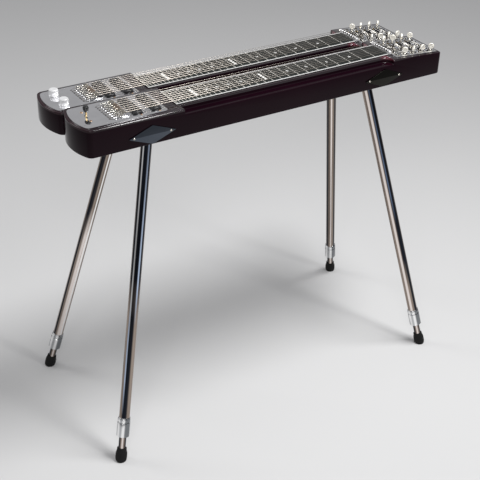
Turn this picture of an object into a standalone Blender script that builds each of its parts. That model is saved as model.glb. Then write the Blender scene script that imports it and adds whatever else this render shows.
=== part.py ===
"""Double-neck console steel guitar on four telescoping legs, in metres, +Z up.

The origin lies on the floor, midway between the legs. +X points to the tuner heads,
+Y to the player. The front body faces the audience (-Y) and stands one tier higher.
"""

import math

import bmesh
import bpy
from mathutils import Matrix, Vector

# Bodies
body_length = 0.857
saddle_to_tail = 0.1082
front_tail_setback = 0.0055
body_width = 0.114
body_bottom_height = 0.681
front_body_thickness = 0.056
tier_step = 0.010
body_joint_gap = 0.0003
head_length = 0.1265
head_tilt = math.radians(4.2)
head_break_offset = 0.005
tail_bulge = 0.015
tail_corner_radius = 0.013
head_corner_radius = 0.010
body_edge_round = 0.0045
ledge_depth = 0.0105
ledge_wall_inset = 0.020
ledge_tail_offset = 0.219
ledge_head_offset = 0.007
ledge_head_radius = 0.018

# Fretboards and nuts
board_thickness = 0.002
board_half_width_at_nut = 0.0288
board_half_width_at_bridge = 0.0327
board_tail_end = 0.105
nut_half_length = 0.032
nut_thickness = 0.004
nut_corner = 0.003
nut_lip = 0.0008

# Strings
string_count = 8
string_radius = 0.0005
string_height = 0.0065
string_spacing_at_nut = 0.0076
string_spacing_at_bridge = 0.0084
string_hole_offset = 0.034
string_hole_radius = 0.0017
string_exit_lean = 0.0008
string_exit_rise = 0.0012

# Control plates and what they carry
plate_thickness = 0.0016
plate_inset = 0.006
plate_half_width = 0.0465
plate_head_end = 0.081
plate_end_radius = 0.007
plate_corner_radius = 0.011
knob_radius = 0.0094
knob_height = 0.0155
knob_offset_from_tail = 0.0355
knob_half_spacing = 0.024
knob_flutes = 18
knob_flute_depth = 0.0005
knob_lift = 0.0006
crown_height = 0.001
crown_inset = 0.0012
crown_bevel = 0.0014
crown_root = 0.002
shaft_radius = 0.003
shaft_depth = 0.009
pot_radius = 0.0115
pot_depth = 0.012
switch_offset_from_tail = 0.0405
switch_length = 0.040
switch_depth = 0.020
switch_wall = 0.0014
switch_inner_width = 0.0076
lever_pivot_depth = 0.009
lever_pivot_radius = 0.0015
lever_hub_radius = 0.0030
lever_thickness = 0.0018
lever_width = 0.0046
lever_height = 0.022
lever_tip_radius = 0.0057
lever_tip_length = 0.011
lever_tip_shoulder = 0.0015
lever_swing = math.radians(18)
cavity_depth = 0.027
cavity_half_width = 0.037
cavity_length = 0.041
cavity_tail_wall = 0.016
cavity_corner_radius = 0.006

# Pickups and bridges
pickup_length = 0.072
pickup_width = 0.020
pickup_height = 0.016
pickup_pocket_depth = 0.010
pickup_edge_round = 0.0012
bridge_pickup_offset = 0.0223
neck_pickup_offset = 0.0613
bridge_half_length = 0.0345
saddle_width = 0.006
bridge_foot_back = 0.022
bridge_foot_lip = 0.002
bridge_foot_thickness = 0.0018

# Tuner pans and machines
pan_nut_gap = 0.009
pan_end_margin = 0.0095
pan_half_width = 0.045
pan_depth = 0.022
pan_wall = 0.0014
pan_flange = 0.0032
pan_wall_rise = 0.0005
pan_rim_height = 0.0013
pan_rim_radius = 0.004
pan_mouth_radius = 0.001
rail_offset = 0.0310
rail_height = 0.017
machines_per_side = 4
machine_spacing = 0.0245
first_key_offset = 0.0375
key_row_offset = 0.0362
shelf_depth = 0.0035
shelf_thickness = 0.0012
post_radius = 0.003
post_inner_end = 0.010
post_axis_depth = 0.0105
gear_teeth = 10
gear_outer_radius = 0.0056
gear_root_radius = 0.0042
gear_width = 0.0032
gear_tooth_share = 0.22
worm_thread_height = 0.0012
worm_thread_width = 0.0016
worm_turns = 1.5
worm_steps_a_turn = 8
worm_mesh_depth = 0.0008
key_shaft_radius = 0.0019
key_journal_length = 0.0032
button_radius = 0.0065
button_thickness = 0.0042
button_center_height = 0.0095
button_shaft_share = 0.6
# How each row of buttons was left turned, in degrees about its shafts.
button_turns = {
    "front_outer": (48, 138, 95, 48),
    "front_inner": (120, 48, 150, 55),
    "rear_inner": (140, 75, 125, 100),
    "rear_outer": (48, 138, 128, 145),
}

# Output jack on the player's side
jack_offset_from_tail = 0.0885
jack_barrel_radius = 0.008
jack_barrel_length = 0.022
jack_flange_radius = 0.0115
jack_flange_thickness = 0.0018
jack_flange_chamfer = 0.0008
jack_bore_radius = 0.0048
jack_bore_depth = 0.019

# Legs
leg_socket_end_inset = 0.1652
leg_socket_inset = 0.054
leg_splay_lengthwise = math.radians(12.08)
leg_splay_crosswise = math.radians(10.58)
leg_socket_depth = 0.030
leg_sides = 12
outer_tube_radius = 0.0111
outer_tube_wall = 0.0014
inner_tube_radius = 0.00875
inner_tube_wall = 0.0014
inner_tube_length = 0.300
inner_floor = 0.004
exposed_inner_length = 0.027
collar_radius = 0.0140
collar_length = 0.045
collar_chamfer = 0.0025
tip_radius = 0.0124
tip_length = 0.029
tip_neck_radius = 0.0102
tip_neck_length = 0.005
tip_shoulder_length = 0.007
tip_sole = 0.006
tip_dome = 0.005

# Clearances
seat_gap = 0.0003
slide_clearance = 0.0005
turn_clearance = 0.0003
pocket_clearance = 0.0006

# How far a cutting shape reaches past what it cuts
cut_reach = 0.010
hole_reach = 0.001
socket_reach = 0.020
floor_cut_half = 0.05

# What follows from the sizes above
body_top_height = body_bottom_height + front_body_thickness
scale_length = body_length - head_length - saddle_to_tail
leg_socket_x = body_length / 2 - leg_socket_end_inset
nut_x = body_length / 2 - head_length
bridge_x = nut_x - scale_length
tail_x = -body_length / 2
head_x = body_length / 2
string_z = board_thickness + string_height
plate_z = seat_gap + plate_thickness
gear_pitch_radius = (gear_outer_radius + gear_root_radius) / 2
worm_lead = 2 * math.pi * gear_pitch_radius / gear_teeth
worm_outer_radius = key_shaft_radius + worm_thread_height
worm_center_distance = gear_outer_radius + worm_outer_radius - worm_mesh_depth

for old in list(bpy.data.objects):
    bpy.data.objects.remove(old, do_unlink=True)

guitar = bpy.data.collections.new("double_neck_steel_guitar")
bpy.context.scene.collection.children.link(guitar)
tools = bpy.data.collections.new("cutting_shapes")
tools.hide_render = True
bpy.context.scene.collection.children.link(tools)

palette = {
    "lacquered_wood": ((0.035, 0.006, 0.012, 1.0), 0.12, 0.0),
    "chrome": ((0.80, 0.80, 0.82, 1.0), 0.08, 1.0),
    "steel": ((0.62, 0.62, 0.64, 1.0), 0.25, 1.0),
    "brass": ((0.70, 0.52, 0.25, 1.0), 0.28, 1.0),
    "black_plastic": ((0.012, 0.012, 0.013, 1.0), 0.35, 0.0),
    "board_black": ((0.045, 0.050, 0.048, 1.0), 0.45, 0.0),
    "rubber": ((0.018, 0.018, 0.018, 1.0), 0.75, 0.0),
}
materials = {}
for kind, (color, roughness, metallic) in palette.items():
    material = bpy.data.materials.new(kind)
    material.use_nodes = True
    shader = material.node_tree.nodes["Principled BSDF"]
    shader.inputs["Base Color"].default_value = color
    shader.inputs["Roughness"].default_value = roughness
    shader.inputs["Metallic"].default_value = metallic
    materials[kind] = material


def link(obj, kind=None):
    """Put a finished piece in the guitar's collection, or a helper among the cutting shapes."""
    if kind is None:
        obj.hide_render = True
        obj.display_type = "WIRE"
        tools.objects.link(obj)
    else:
        obj.data.materials.append(materials[kind])
        guitar.objects.link(obj)
    return obj


def from_bmesh(name, bm, kind=None, location=(0, 0, 0)):
    mesh = bpy.data.meshes.new(name)
    bm.to_mesh(mesh)
    bm.free()
    obj = bpy.data.objects.new(name, mesh)
    obj.location = location
    return link(obj, kind)


def box(name, low, high, kind=None, location=(0, 0, 0)):
    bm = bmesh.new()
    bmesh.ops.create_cube(bm, size=1.0)
    size = Vector(high) - Vector(low)
    middle = (Vector(high) + Vector(low)) / 2
    bmesh.ops.scale(bm, vec=size, verts=bm.verts)
    bmesh.ops.translate(bm, vec=middle, verts=bm.verts)
    return from_bmesh(name, bm, kind, location)


def cylinder(name, radius, start, end, segments=16, kind=None, location=(0, 0, 0), flat=0.0):
    """A round bar from one point to another, turned about its axis by the angle flat."""
    start, end = Vector(start), Vector(end)
    axis = end - start
    bm = bmesh.new()
    turn = axis.to_track_quat("Z", "Y").to_matrix().to_4x4()
    place = Matrix.Translation((start + end) / 2) @ turn @ Matrix.Rotation(flat, 4, "Z")
    bmesh.ops.create_cone(
        bm,
        cap_ends=True,
        segments=segments,
        radius1=radius,
        radius2=radius,
        depth=axis.length,
        matrix=place,
    )
    return from_bmesh(name, bm, kind, location)


def curve_to_mesh(obj, name, kind=None):
    """Turn a curve into a welded mesh object that Booleans can use."""
    bpy.context.view_layer.update()
    graph = bpy.context.evaluated_depsgraph_get()
    mesh = bpy.data.meshes.new_from_object(obj.evaluated_get(graph))
    bm = bmesh.new()
    bm.from_mesh(mesh)
    bmesh.ops.remove_doubles(bm, verts=bm.verts, dist=1e-6)
    bmesh.ops.dissolve_limit(bm, angle_limit=1e-4, verts=bm.verts, edges=bm.edges)
    bmesh.ops.recalc_face_normals(bm, faces=bm.faces)
    bm.to_mesh(mesh)
    bm.free()
    mesh.materials.clear()
    made = bpy.data.objects.new(name, mesh)
    made.matrix_world = obj.matrix_world.copy()
    bpy.data.objects.remove(obj, do_unlink=True)
    return link(made, kind)


def slab(name, outlines, low, high, kind=None, location=(0, 0, 0), turn=None):
    """A flat sheet or block from closed outlines, the first outside and the rest holes."""
    curve = bpy.data.curves.new(name + "_outline", "CURVE")
    curve.dimensions = "2D"
    curve.fill_mode = "BOTH"
    curve.extrude = (high - low) / 2
    for outline in outlines:
        spline = curve.splines.new("POLY")
        spline.points.add(len(outline) - 1)
        for point, (x, y) in zip(spline.points, outline):
            point.co = (x, y, 0, 1)
        spline.use_cyclic_u = True
    obj = bpy.data.objects.new(name + "_outline", curve)
    rise = Matrix.Translation((0, 0, (low + high) / 2))
    obj.matrix_world = Matrix.Translation(location) @ (turn or Matrix()) @ rise
    tools.objects.link(obj)
    return curve_to_mesh(obj, name, kind)


def turned(name, profile, segments, kind=None, location=(0, 0, 0), parent=None):
    """A solid of revolution about its own Z, from (radius, height) points, top to bottom."""
    bm = bmesh.new()
    points = [bm.verts.new((radius, 0, height)) for radius, height in profile]
    for a, b in zip(points, points[1:]):
        bm.edges.new((a, b))
    obj = from_bmesh(name, bm, kind, location)
    screw = obj.modifiers.new("turn", "SCREW")
    screw.steps = segments
    screw.render_steps = segments
    screw.use_merge_vertices = True
    screw.merge_threshold = 0.00001
    screw.use_smooth_shade = True
    if parent is not None:
        obj.parent = parent
    return obj


def bevel(obj, width, segments=2, angle=40):
    mod = obj.modifiers.new("rounded_edges", "BEVEL")
    mod.width = width
    mod.segments = segments
    mod.limit_method = "ANGLE"
    mod.angle_limit = math.radians(angle)
    return mod


def combine(obj, other, operation="DIFFERENCE"):
    mod = obj.modifiers.new(other.name[:40], "BOOLEAN")
    mod.operation = operation
    mod.object = other
    mod.solver = "EXACT"
    return mod


def arc(center, radius, start, end, steps):
    """Points on an arc, angles in degrees."""
    points = []
    for i in range(steps + 1):
        angle = math.radians(start + (end - start) * i / steps)
        points.append((center[0] + radius * math.cos(angle), center[1] + radius * math.sin(angle)))
    return points


def rounded_rectangle(x0, x1, y0, y1, radius, steps=4):
    outline = []
    for cx, cy, start in (
        (x1 - radius, y0 + radius, -90),
        (x1 - radius, y1 - radius, 0),
        (x0 + radius, y1 - radius, 90),
        (x0 + radius, y0 + radius, 180),
    ):
        outline += arc((cx, cy), radius, start, start + 90, steps)
    return outline


def circle(x, y, radius, steps=12):
    return arc((x, y), radius, 0, 360 - 360 / steps, steps - 1)


def tail_outline(tail, inset, half_width, end_x, end_radius, corner_radius, arc_steps=8):
    """The plan of a body, or of a plate set in by inset: a bulging tail and a square end."""
    bulge_radius = (body_width**2 / 4 + tail_bulge**2) / (2 * tail_bulge) - inset
    center_x = tail + inset + bulge_radius
    inner = corner_radius
    # The corner's centre is tangent to the bulge and to the long side.
    side = half_width - inner
    reach = math.sqrt((bulge_radius - inner) ** 2 - side**2)
    corner_x = center_x - reach
    lean = math.degrees(math.atan2(side, reach))
    outline = arc((end_x - end_radius, -half_width + end_radius), end_radius, -90, 0, 3)
    outline += arc((end_x - end_radius, half_width - end_radius), end_radius, 0, 90, 3)
    outline += arc((corner_x, side), inner, 90, 180 - lean, 3)
    outline += arc((center_x, 0), bulge_radius, 180 - lean, 180 + lean, arc_steps)[1:-1]
    outline += arc((corner_x, -side), inner, 180 + lean, 270, 3)
    return outline


def string_y(index, spacing):
    return (index - (string_count - 1) / 2) * spacing


class Neck:
    """One of the two instruments: where its centre line and tail lie and how high its top is."""

    def __init__(self, label, side, top, tail):
        self.label = label
        self.side = side
        self.y = side * body_width / 2
        self.top = top
        self.tail = tail
        # Behind the nut the head and all it carries tip down about a line across the top.
        pivot = Matrix.Translation((nut_x + head_break_offset, 0, 0))
        tip = pivot @ Matrix.Rotation(head_tilt, 4, "Y") @ pivot.inverted()
        place = Matrix.Translation((0, self.y, top))
        self.tip_local = tip
        self.tip = place @ tip @ place.inverted()


necks = (
    Neck("front", -1, body_top_height, tail_x + front_tail_setback),
    Neck("rear", 1, body_top_height - tier_step, tail_x),
)

pan_x0 = nut_x + pan_nut_gap
pan_x1 = head_x - pan_end_margin
key_xs = [nut_x + first_key_offset + i * machine_spacing for i in range(machines_per_side)]
post_xs = [x - worm_center_distance for x in key_xs]
pickup_xs = {
    "bridge": bridge_x + bridge_pickup_offset,
    "neck": bridge_x + neck_pickup_offset,
}
knob_x = tail_x + knob_offset_from_tail
switch_x = tail_x + switch_offset_from_tail
string_hole_x = bridge_x - string_hole_offset
leg_mouths = {}
for label, sx, sy in (
    ("front_left", -1, -1),
    ("front_right", 1, -1),
    ("rear_left", -1, 1),
    ("rear_right", 1, 1),
):
    lean = Vector((sx * math.tan(leg_splay_lengthwise), sy * math.tan(leg_splay_crosswise), -1.0))
    mouth = Vector((sx * leg_socket_x, sy * (body_width - leg_socket_inset), body_bottom_height))
    leg_mouths[label] = (mouth, lean.normalized())


def tip_head(obj, neck):
    """Tip a level piece of the head, and every shape it is made with, to the head's slope."""
    for mod in obj.modifiers:
        if mod.type == "BOOLEAN":
            tip_head(mod.object, neck)
    obj.matrix_basis = neck.tip @ obj.matrix_basis


def make_body(neck):
    """The wooden body with its stepped sides, pockets and leg sockets."""
    low = body_bottom_height
    joint = body_joint_gap / 2
    name = neck.label + "_body"
    half = body_width / 2 - joint
    plan = tail_outline(neck.tail, 0.0, half, head_x, head_corner_radius, tail_corner_radius)
    place = (0, neck.y, 0)
    body = slab(name, [plan], low, neck.top, "lacquered_wood", place)
    wall_y = body_width / 2 - ledge_wall_inset
    ledge_x0 = tail_x + ledge_tail_offset
    ledge_x1 = nut_x - ledge_head_offset
    for side in (-1, 1):
        outer = body_width
        corner = arc(
            (ledge_x1 - ledge_head_radius, wall_y + ledge_head_radius), ledge_head_radius, -90, 0, 5
        )
        outline = [(ledge_x0, wall_y)] + corner + [(ledge_x1, outer), (ledge_x0, outer)]
        outline = [(x, side * y) for x, y in outline]
        cut = slab(
            f"{name}_ledge_{side}", [outline], neck.top - ledge_depth, neck.top + cut_reach, None, place
        )
        combine(body, cut)
    break_x = nut_x + head_break_offset
    wedge = box(
        name + "_head_slope",
        (break_x - cut_reach, -body_width, 0),
        (head_x + cut_reach, body_width, pan_depth),
        None,
        (0, neck.y, neck.top),
    )
    tip_head(wedge, neck)
    combine(body, wedge)
    bevel(body, body_edge_round)
    pan_low = neck.top - pan_depth - seat_gap
    pan_gap = seat_gap
    pan_cut = box(
        name + "_pan_pocket",
        (pan_x0 - pan_gap, -pan_half_width - pan_gap, pan_low),
        (pan_x1 + pan_gap, pan_half_width + pan_gap, neck.top + cut_reach),
        None,
        place,
    )
    tip_head(pan_cut, neck)
    combine(body, pan_cut)
    for label, x in pickup_xs.items():
        pocket = box(
            f"{name}_{label}_pocket",
            (
                x - pickup_width / 2 - pocket_clearance,
                -pickup_length / 2 - pocket_clearance,
                neck.top - pickup_pocket_depth,
            ),
            (
                x + pickup_width / 2 + pocket_clearance,
                pickup_length / 2 + pocket_clearance,
                neck.top + cut_reach,
            ),
            None,
            place,
        )
        combine(body, pocket)
    cavity_x0 = tail_x + cavity_tail_wall
    cavity = slab(
        name + "_control_cavity",
        [
            rounded_rectangle(
                cavity_x0,
                cavity_x0 + cavity_length,
                -cavity_half_width,
                cavity_half_width,
                cavity_corner_radius,
                3,
            )
        ],
        neck.top - cavity_depth,
        neck.top + cut_reach,
        None,
        place,
    )
    combine(body, cavity)
    for label, (mouth, lean) in leg_mouths.items():
        if mouth.y * neck.side > 0:
            hole = cylinder(
                f"{name}_{label}_socket",
                outer_tube_radius + seat_gap,
                mouth + lean * socket_reach,
                mouth - lean * (leg_socket_depth + seat_gap),
                16,
            )
            combine(body, hole)
    if neck.side > 0:
        jack_x = tail_x + jack_offset_from_tail
        jack_z = (body_bottom_height + neck.top) / 2
        face_y = neck.y + body_width / 2
        hole = cylinder(
            name + "_jack_hole",
            jack_barrel_radius + seat_gap,
            (jack_x, face_y + cut_reach, jack_z),
            (jack_x, face_y - jack_barrel_length - seat_gap, jack_z),
            16,
        )
        combine(body, hole)
    return body


def make_board(neck):
    """The thin fretboard plate, widening from the nut towards the bridge."""
    x0 = bridge_x + board_tail_end
    x1 = nut_x - seat_gap
    share = (nut_x - x0) / scale_length
    wide = board_half_width_at_nut + (board_half_width_at_bridge - board_half_width_at_nut) * share
    narrow = board_half_width_at_nut
    outline = [(x0, -wide), (x1, -narrow), (x1, narrow), (x0, wide)]
    low = neck.top + seat_gap
    return slab(
        neck.label + "_fretboard", [outline], low, neck.top + board_thickness, "board_black", (0, neck.y, 0)
    )


def make_nut(neck):
    """An upright comb whose slots carry the strings."""
    top = string_z + nut_lip
    slot_half = string_radius + turn_clearance
    slot_low = string_z - string_radius - turn_clearance
    outline = [(-nut_half_length, seat_gap)]
    for i in range(string_count):
        y = string_y(i, string_spacing_at_nut)
        if i == 0:
            outline += arc((-nut_half_length + nut_corner, top - nut_corner), nut_corner, 180, 90, 3)
        outline += [
            (y - slot_half, top),
            (y - slot_half, slot_low),
            (y + slot_half, slot_low),
            (y + slot_half, top),
        ]
    outline += arc((nut_half_length - nut_corner, top - nut_corner), nut_corner, 90, 0, 3)
    outline.append((nut_half_length, seat_gap))
    outline.reverse()
    stand = Matrix.Rotation(math.pi / 2, 4, "Z") @ Matrix.Rotation(math.pi / 2, 4, "X")
    return slab(
        neck.label + "_nut", [outline], 0, nut_thickness, "chrome", (nut_x, neck.y, neck.top), stand
    )


def make_plate(neck):
    """The bright sheet over the tail, with windows for the pickups and holes for the strings."""
    end_x = bridge_x + plate_head_end
    plan = tail_outline(
        neck.tail, plate_inset, plate_half_width, end_x, plate_end_radius, plate_corner_radius
    )
    outlines = [plan]
    for i in range(string_count):
        outlines.append(circle(string_hole_x, string_y(i, string_spacing_at_bridge), string_hole_radius, 6))
    low = neck.top + seat_gap
    high = neck.top + plate_z
    name = neck.label + "_control_plate"
    place = (0, neck.y, 0)
    if neck.side > 0:
        plate = slab(name, outlines, low, high, "chrome", place)
        for sign in (-1, 1):
            y = neck.y + sign * knob_half_spacing
            pot = cylinder(
                f"{name}_pot_{sign}",
                pot_radius,
                (knob_x, y, high - pot_depth),
                (knob_x, y, low + plate_thickness / 2),
                14,
            )
            combine(plate, pot, "UNION")
            bore = cylinder(
                f"{name}_bore_{sign}",
                shaft_radius + turn_clearance,
                (knob_x, y, high - shaft_depth - turn_clearance),
                (knob_x, y, high + cut_reach),
                10,
            )
            combine(plate, bore)
    else:
        reach = (lever_pivot_depth + plate_thickness) * math.tan(lever_swing)
        half_x = lever_thickness / 2 + slide_clearance
        half_y = lever_width / 2 / math.cos(lever_swing) + reach + slide_clearance
        outlines.append(
            [
                (switch_x - half_x, -half_y),
                (switch_x + half_x, -half_y),
                (switch_x + half_x, half_y),
                (switch_x - half_x, half_y),
            ]
        )
        plate = slab(name, outlines, low, high, "chrome", place)
        for sign in (-1, 1):
            inner = switch_inner_width / 2
            wall_x = sorted((switch_x + sign * inner, switch_x + sign * (inner + switch_wall)))
            wall = box(
                f"{name}_switch_wall_{sign}",
                (wall_x[0], -switch_length / 2, high - switch_depth),
                (wall_x[1], switch_length / 2, low + plate_thickness / 2),
                None,
                place,
            )
            combine(plate, wall, "UNION")
        pivot = cylinder(
            name + "_pivot_hole",
            lever_pivot_radius + turn_clearance,
            (switch_x - switch_inner_width, neck.y, high - lever_pivot_depth),
            (switch_x + switch_inner_width, neck.y, high - lever_pivot_depth),
            12,
        )
        combine(plate, pivot)
    for label, x in pickup_xs.items():
        half_x = pickup_width / 2 + pocket_clearance
        half_y = pickup_length / 2 + pocket_clearance
        window = box(
            f"{name}_{label}_window",
            (x - half_x, -half_y, low - cut_reach),
            (x + half_x, half_y, high + cut_reach),
            None,
            place,
        )
        combine(plate, window)
    return plate


def make_pickup(neck, label):
    low = neck.top - pickup_pocket_depth + seat_gap
    pickup = box(
        f"{neck.label}_{label}_pickup",
        (-pickup_width / 2, -pickup_length / 2, low),
        (pickup_width / 2, pickup_length / 2, low + pickup_height),
        "black_plastic",
        (pickup_xs[label], neck.y, 0),
    )
    bevel(pickup, pickup_edge_round, 1, 60)
    return pickup


def string_path(neck, index):
    """Where one string runs: hole, saddle, nut slot and the top of its own post."""
    y_bridge = string_y(index, string_spacing_at_bridge)
    y_nut = string_y(index, string_spacing_at_nut)
    side = -1 if index < string_count / 2 else 1
    order = index if side < 0 else string_count - 1 - index
    post_x = post_xs[order]
    inward = (rail_offset - post_inner_end) / (machines_per_side + 1)
    y_post = side * (rail_offset - inward * (order + 1))
    post_top = -post_axis_depth + post_radius + string_radius + seat_gap
    on_post = neck.tip_local @ Vector((post_x, y_post, post_top))
    return [
        (string_hole_x, y_bridge, seat_gap + plate_thickness / 2),
        (string_hole_x + string_exit_lean, y_bridge, plate_z + string_exit_rise),
        (bridge_x, y_bridge, string_z),
        (nut_x + nut_thickness + turn_clearance, y_nut, string_z),
        tuple(on_post),
    ]


def make_bridge(neck):
    """Foot and saddle bar, with the eight strings that it carries."""
    name = neck.label + "_bridge_and_strings"
    place = (0, neck.y, neck.top)
    foot_low = plate_z + seat_gap
    foot_high = foot_low + bridge_foot_thickness
    foot_x0 = bridge_x - bridge_foot_back
    foot_x1 = bridge_x + saddle_width / 2 + bridge_foot_lip
    saddle_top = string_z - string_radius / 2
    profile = [
        (foot_x0, foot_low),
        (foot_x1, foot_low),
        (foot_x1, foot_high),
        (bridge_x + saddle_width / 2, foot_high),
    ]
    profile += arc((bridge_x, saddle_top - saddle_width / 2), saddle_width / 2, 0, 180, 8)
    profile += [
        (bridge_x - saddle_width / 2, foot_high),
        (foot_x0, foot_high),
    ]
    stand = Matrix.Rotation(math.pi / 2, 4, "X")
    bridge = slab(name, [profile], -bridge_half_length, bridge_half_length, "chrome", place, stand)
    for index in range(string_count):
        curve = bpy.data.curves.new(f"{name}_wire_{index}", "CURVE")
        curve.dimensions = "3D"
        curve.bevel_depth = string_radius
        curve.bevel_resolution = 0
        curve.use_fill_caps = True
        spline = curve.splines.new("POLY")
        path = string_path(neck, index)
        spline.points.add(len(path) - 1)
        for point, at in zip(spline.points, path):
            point.co = (*at, 1)
        wire = bpy.data.objects.new(f"{name}_wire_{index}", curve)
        wire.location = place
        tools.objects.link(wire)
        combine(bridge, curve_to_mesh(wire, f"{name}_string_{index}"), "UNION")
    return bridge


def make_pan(neck):
    """The recessed tuner tray: outer walls, a rail for the posts and a shelf for the keys."""
    name = neck.label + "_tuner_pan"
    place = (0, neck.y, neck.top)
    floor_low = -pan_depth
    pan = box(
        name,
        (pan_x0, -pan_half_width, floor_low),
        (pan_x1, pan_half_width, pan_wall_rise),
        "chrome",
        place,
    )
    hollow = box(
        name + "_hollow",
        (pan_x0 + pan_wall, -pan_half_width + pan_wall, floor_low + pan_wall),
        (pan_x1 - pan_wall, pan_half_width - pan_wall, cut_reach),
        None,
        place,
    )
    combine(pan, hollow)
    rim = slab(
        name + "_rim",
        [
            rounded_rectangle(
                pan_x0 - pan_flange,
                pan_x1 + pan_flange,
                -pan_half_width - pan_flange,
                pan_half_width + pan_flange,
                pan_rim_radius,
                3,
            ),
            rounded_rectangle(
                pan_x0 + pan_wall / 2,
                pan_x1 - pan_wall / 2,
                -pan_half_width + pan_wall / 2,
                pan_half_width - pan_wall / 2,
                pan_mouth_radius,
                2,
            ),
        ],
        seat_gap,
        pan_rim_height,
        None,
        place,
    )
    combine(pan, rim, "UNION")
    for side in (-1, 1):
        rail_y = sorted((side * rail_offset, side * (rail_offset + pan_wall)))
        rail = box(
            f"{name}_rail_{side}",
            (pan_x0 + pan_wall / 2, rail_y[0], floor_low + pan_wall / 2),
            (pan_x1 - pan_wall / 2, rail_y[1], floor_low + pan_wall + rail_height),
            None,
            place,
        )
        shelf_y = sorted((side * (rail_offset + pan_wall / 2), side * (pan_half_width - pan_wall / 2)))
        shelf = box(
            f"{name}_shelf_{side}",
            (pan_x0 + pan_wall / 2, shelf_y[0], -shelf_depth - shelf_thickness),
            (pan_x1 - pan_wall / 2, shelf_y[1], -shelf_depth),
            None,
            place,
        )
        for i in range(machines_per_side):
            post_hole = cylinder(
                f"{name}_post_hole_{side}_{i}",
                post_radius + turn_clearance,
                (post_xs[i], side * (rail_offset - hole_reach), -post_axis_depth),
                (post_xs[i], side * (rail_offset + pan_wall + hole_reach), -post_axis_depth),
                8,
                None,
                place,
            )
            combine(rail, post_hole)
            key_hole = cylinder(
                f"{name}_key_hole_{side}_{i}",
                key_shaft_radius + turn_clearance,
                (key_xs[i], side * key_row_offset, -shelf_depth - shelf_thickness - hole_reach),
                (key_xs[i], side * key_row_offset, -shelf_depth + hole_reach),
                worm_steps_a_turn,
                None,
                place,
            )
            combine(shelf, key_hole)
            slot_y = sorted(
                (side * (rail_offset - hole_reach), side * (key_row_offset + gear_width / 2 + hole_reach))
            )
            gear_slot = box(
                f"{name}_gear_slot_{side}_{i}",
                (
                    post_xs[i] - gear_outer_radius - hole_reach,
                    slot_y[0],
                    -shelf_depth - shelf_thickness - hole_reach,
                ),
                (post_xs[i] + gear_outer_radius * 0.35, slot_y[1], -shelf_depth + hole_reach),
                None,
                place,
            )
            combine(shelf, gear_slot)
        combine(pan, rail, "UNION")
        combine(pan, shelf, "UNION")
    tip_head(pan, neck)
    return pan


def gear_outline():
    """A toothed wheel: two points on each tooth's tip and one in each gap."""
    outline = []
    step = 2 * math.pi / gear_teeth
    # The worm's thread crosses the wheel's plane here, so a gap between two teeth faces it.
    crossing = (0.5 - worm_turns / 2) * worm_lead / gear_pitch_radius
    for tooth in range(gear_teeth):
        middle = crossing + (tooth + 0.5) * step
        for radius, offset in (
            (gear_outer_radius, -gear_tooth_share / 2),
            (gear_outer_radius, gear_tooth_share / 2),
            (gear_root_radius, 0.5),
        ):
            angle = middle + offset * step
            outline.append((radius * math.cos(angle), radius * math.sin(angle)))
    return outline


def make_post(neck, side, index):
    """A string post across the tray, with its gear wheel outside the rail."""
    label = "inner" if side * neck.side < 0 else "outer"
    name = f"{neck.label}_{label}_post_{index + 1}"
    place = Vector((post_xs[index], neck.y + side * key_row_offset, neck.top - post_axis_depth))
    facing = Matrix.Rotation(math.pi / 2, 4, "X")
    gear = slab(name, [gear_outline()], -gear_width / 2, gear_width / 2, "brass", place, facing)
    inner = post_inner_end - key_row_offset
    shank = cylinder(
        name + "_shank",
        post_radius,
        (place.x, place.y, place.z),
        (place.x, place.y + side * inner, place.z),
        8,
    )
    combine(gear, shank, "UNION")
    tip_head(gear, neck)
    return gear


def make_key(neck, side, index):
    """An upright key: worm below the shelf, shaft through it, round button above."""
    label = "inner" if side * neck.side < 0 else "outer"
    name = f"{neck.label}_{label}_key_{index + 1}"
    place = Vector((key_xs[index], neck.y + side * key_row_offset, neck.top))
    worm_middle = -post_axis_depth
    thread_span = worm_turns * worm_lead
    core_low = -pan_depth + pan_wall + seat_gap
    journal_high = button_center_height - button_radius * button_shaft_share
    key = cylinder(
        name,
        key_shaft_radius,
        (0, 0, core_low),
        (0, 0, journal_high),
        worm_steps_a_turn,
        "chrome",
        place,
    )
    bm = bmesh.new()
    root = key_shaft_radius * 0.7
    start = worm_middle - thread_span / 2
    section = [
        bm.verts.new((root, 0, start + worm_thread_width / 2)),
        bm.verts.new((worm_outer_radius, 0, start)),
        bm.verts.new((root, 0, start - worm_thread_width / 2)),
    ]
    edges = [bm.edges.new((a, b)) for a, b in zip(section, section[1:] + section[:1])]
    bm.faces.new(section)
    total = round(worm_steps_a_turn * worm_turns)
    spun = bmesh.ops.spin(
        bm,
        geom=edges + section,
        axis=(0, 0, 1),
        cent=(0, 0, 0),
        dvec=(0, 0, thread_span / total),
        angle=2 * math.pi * worm_turns,
        steps=total,
        use_duplicate=False,
    )
    bm.faces.new([element for element in spun["geom_last"] if isinstance(element, bmesh.types.BMVert)])
    bmesh.ops.recalc_face_normals(bm, faces=bm.faces)
    thread = from_bmesh(name + "_thread", bm, None, place)
    combine(key, thread, "UNION")
    facing = math.radians(button_turns[f"{neck.label}_{label}"][index])
    across = Vector((math.cos(facing), math.sin(facing), 0))
    middle = place + Vector((0, 0, button_center_height))
    button = cylinder(
        name + "_button",
        button_radius,
        middle - across * button_thickness / 2,
        middle + across * button_thickness / 2,
        12,
    )
    combine(key, button, "UNION")
    tip_head(key, neck)
    return key


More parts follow.
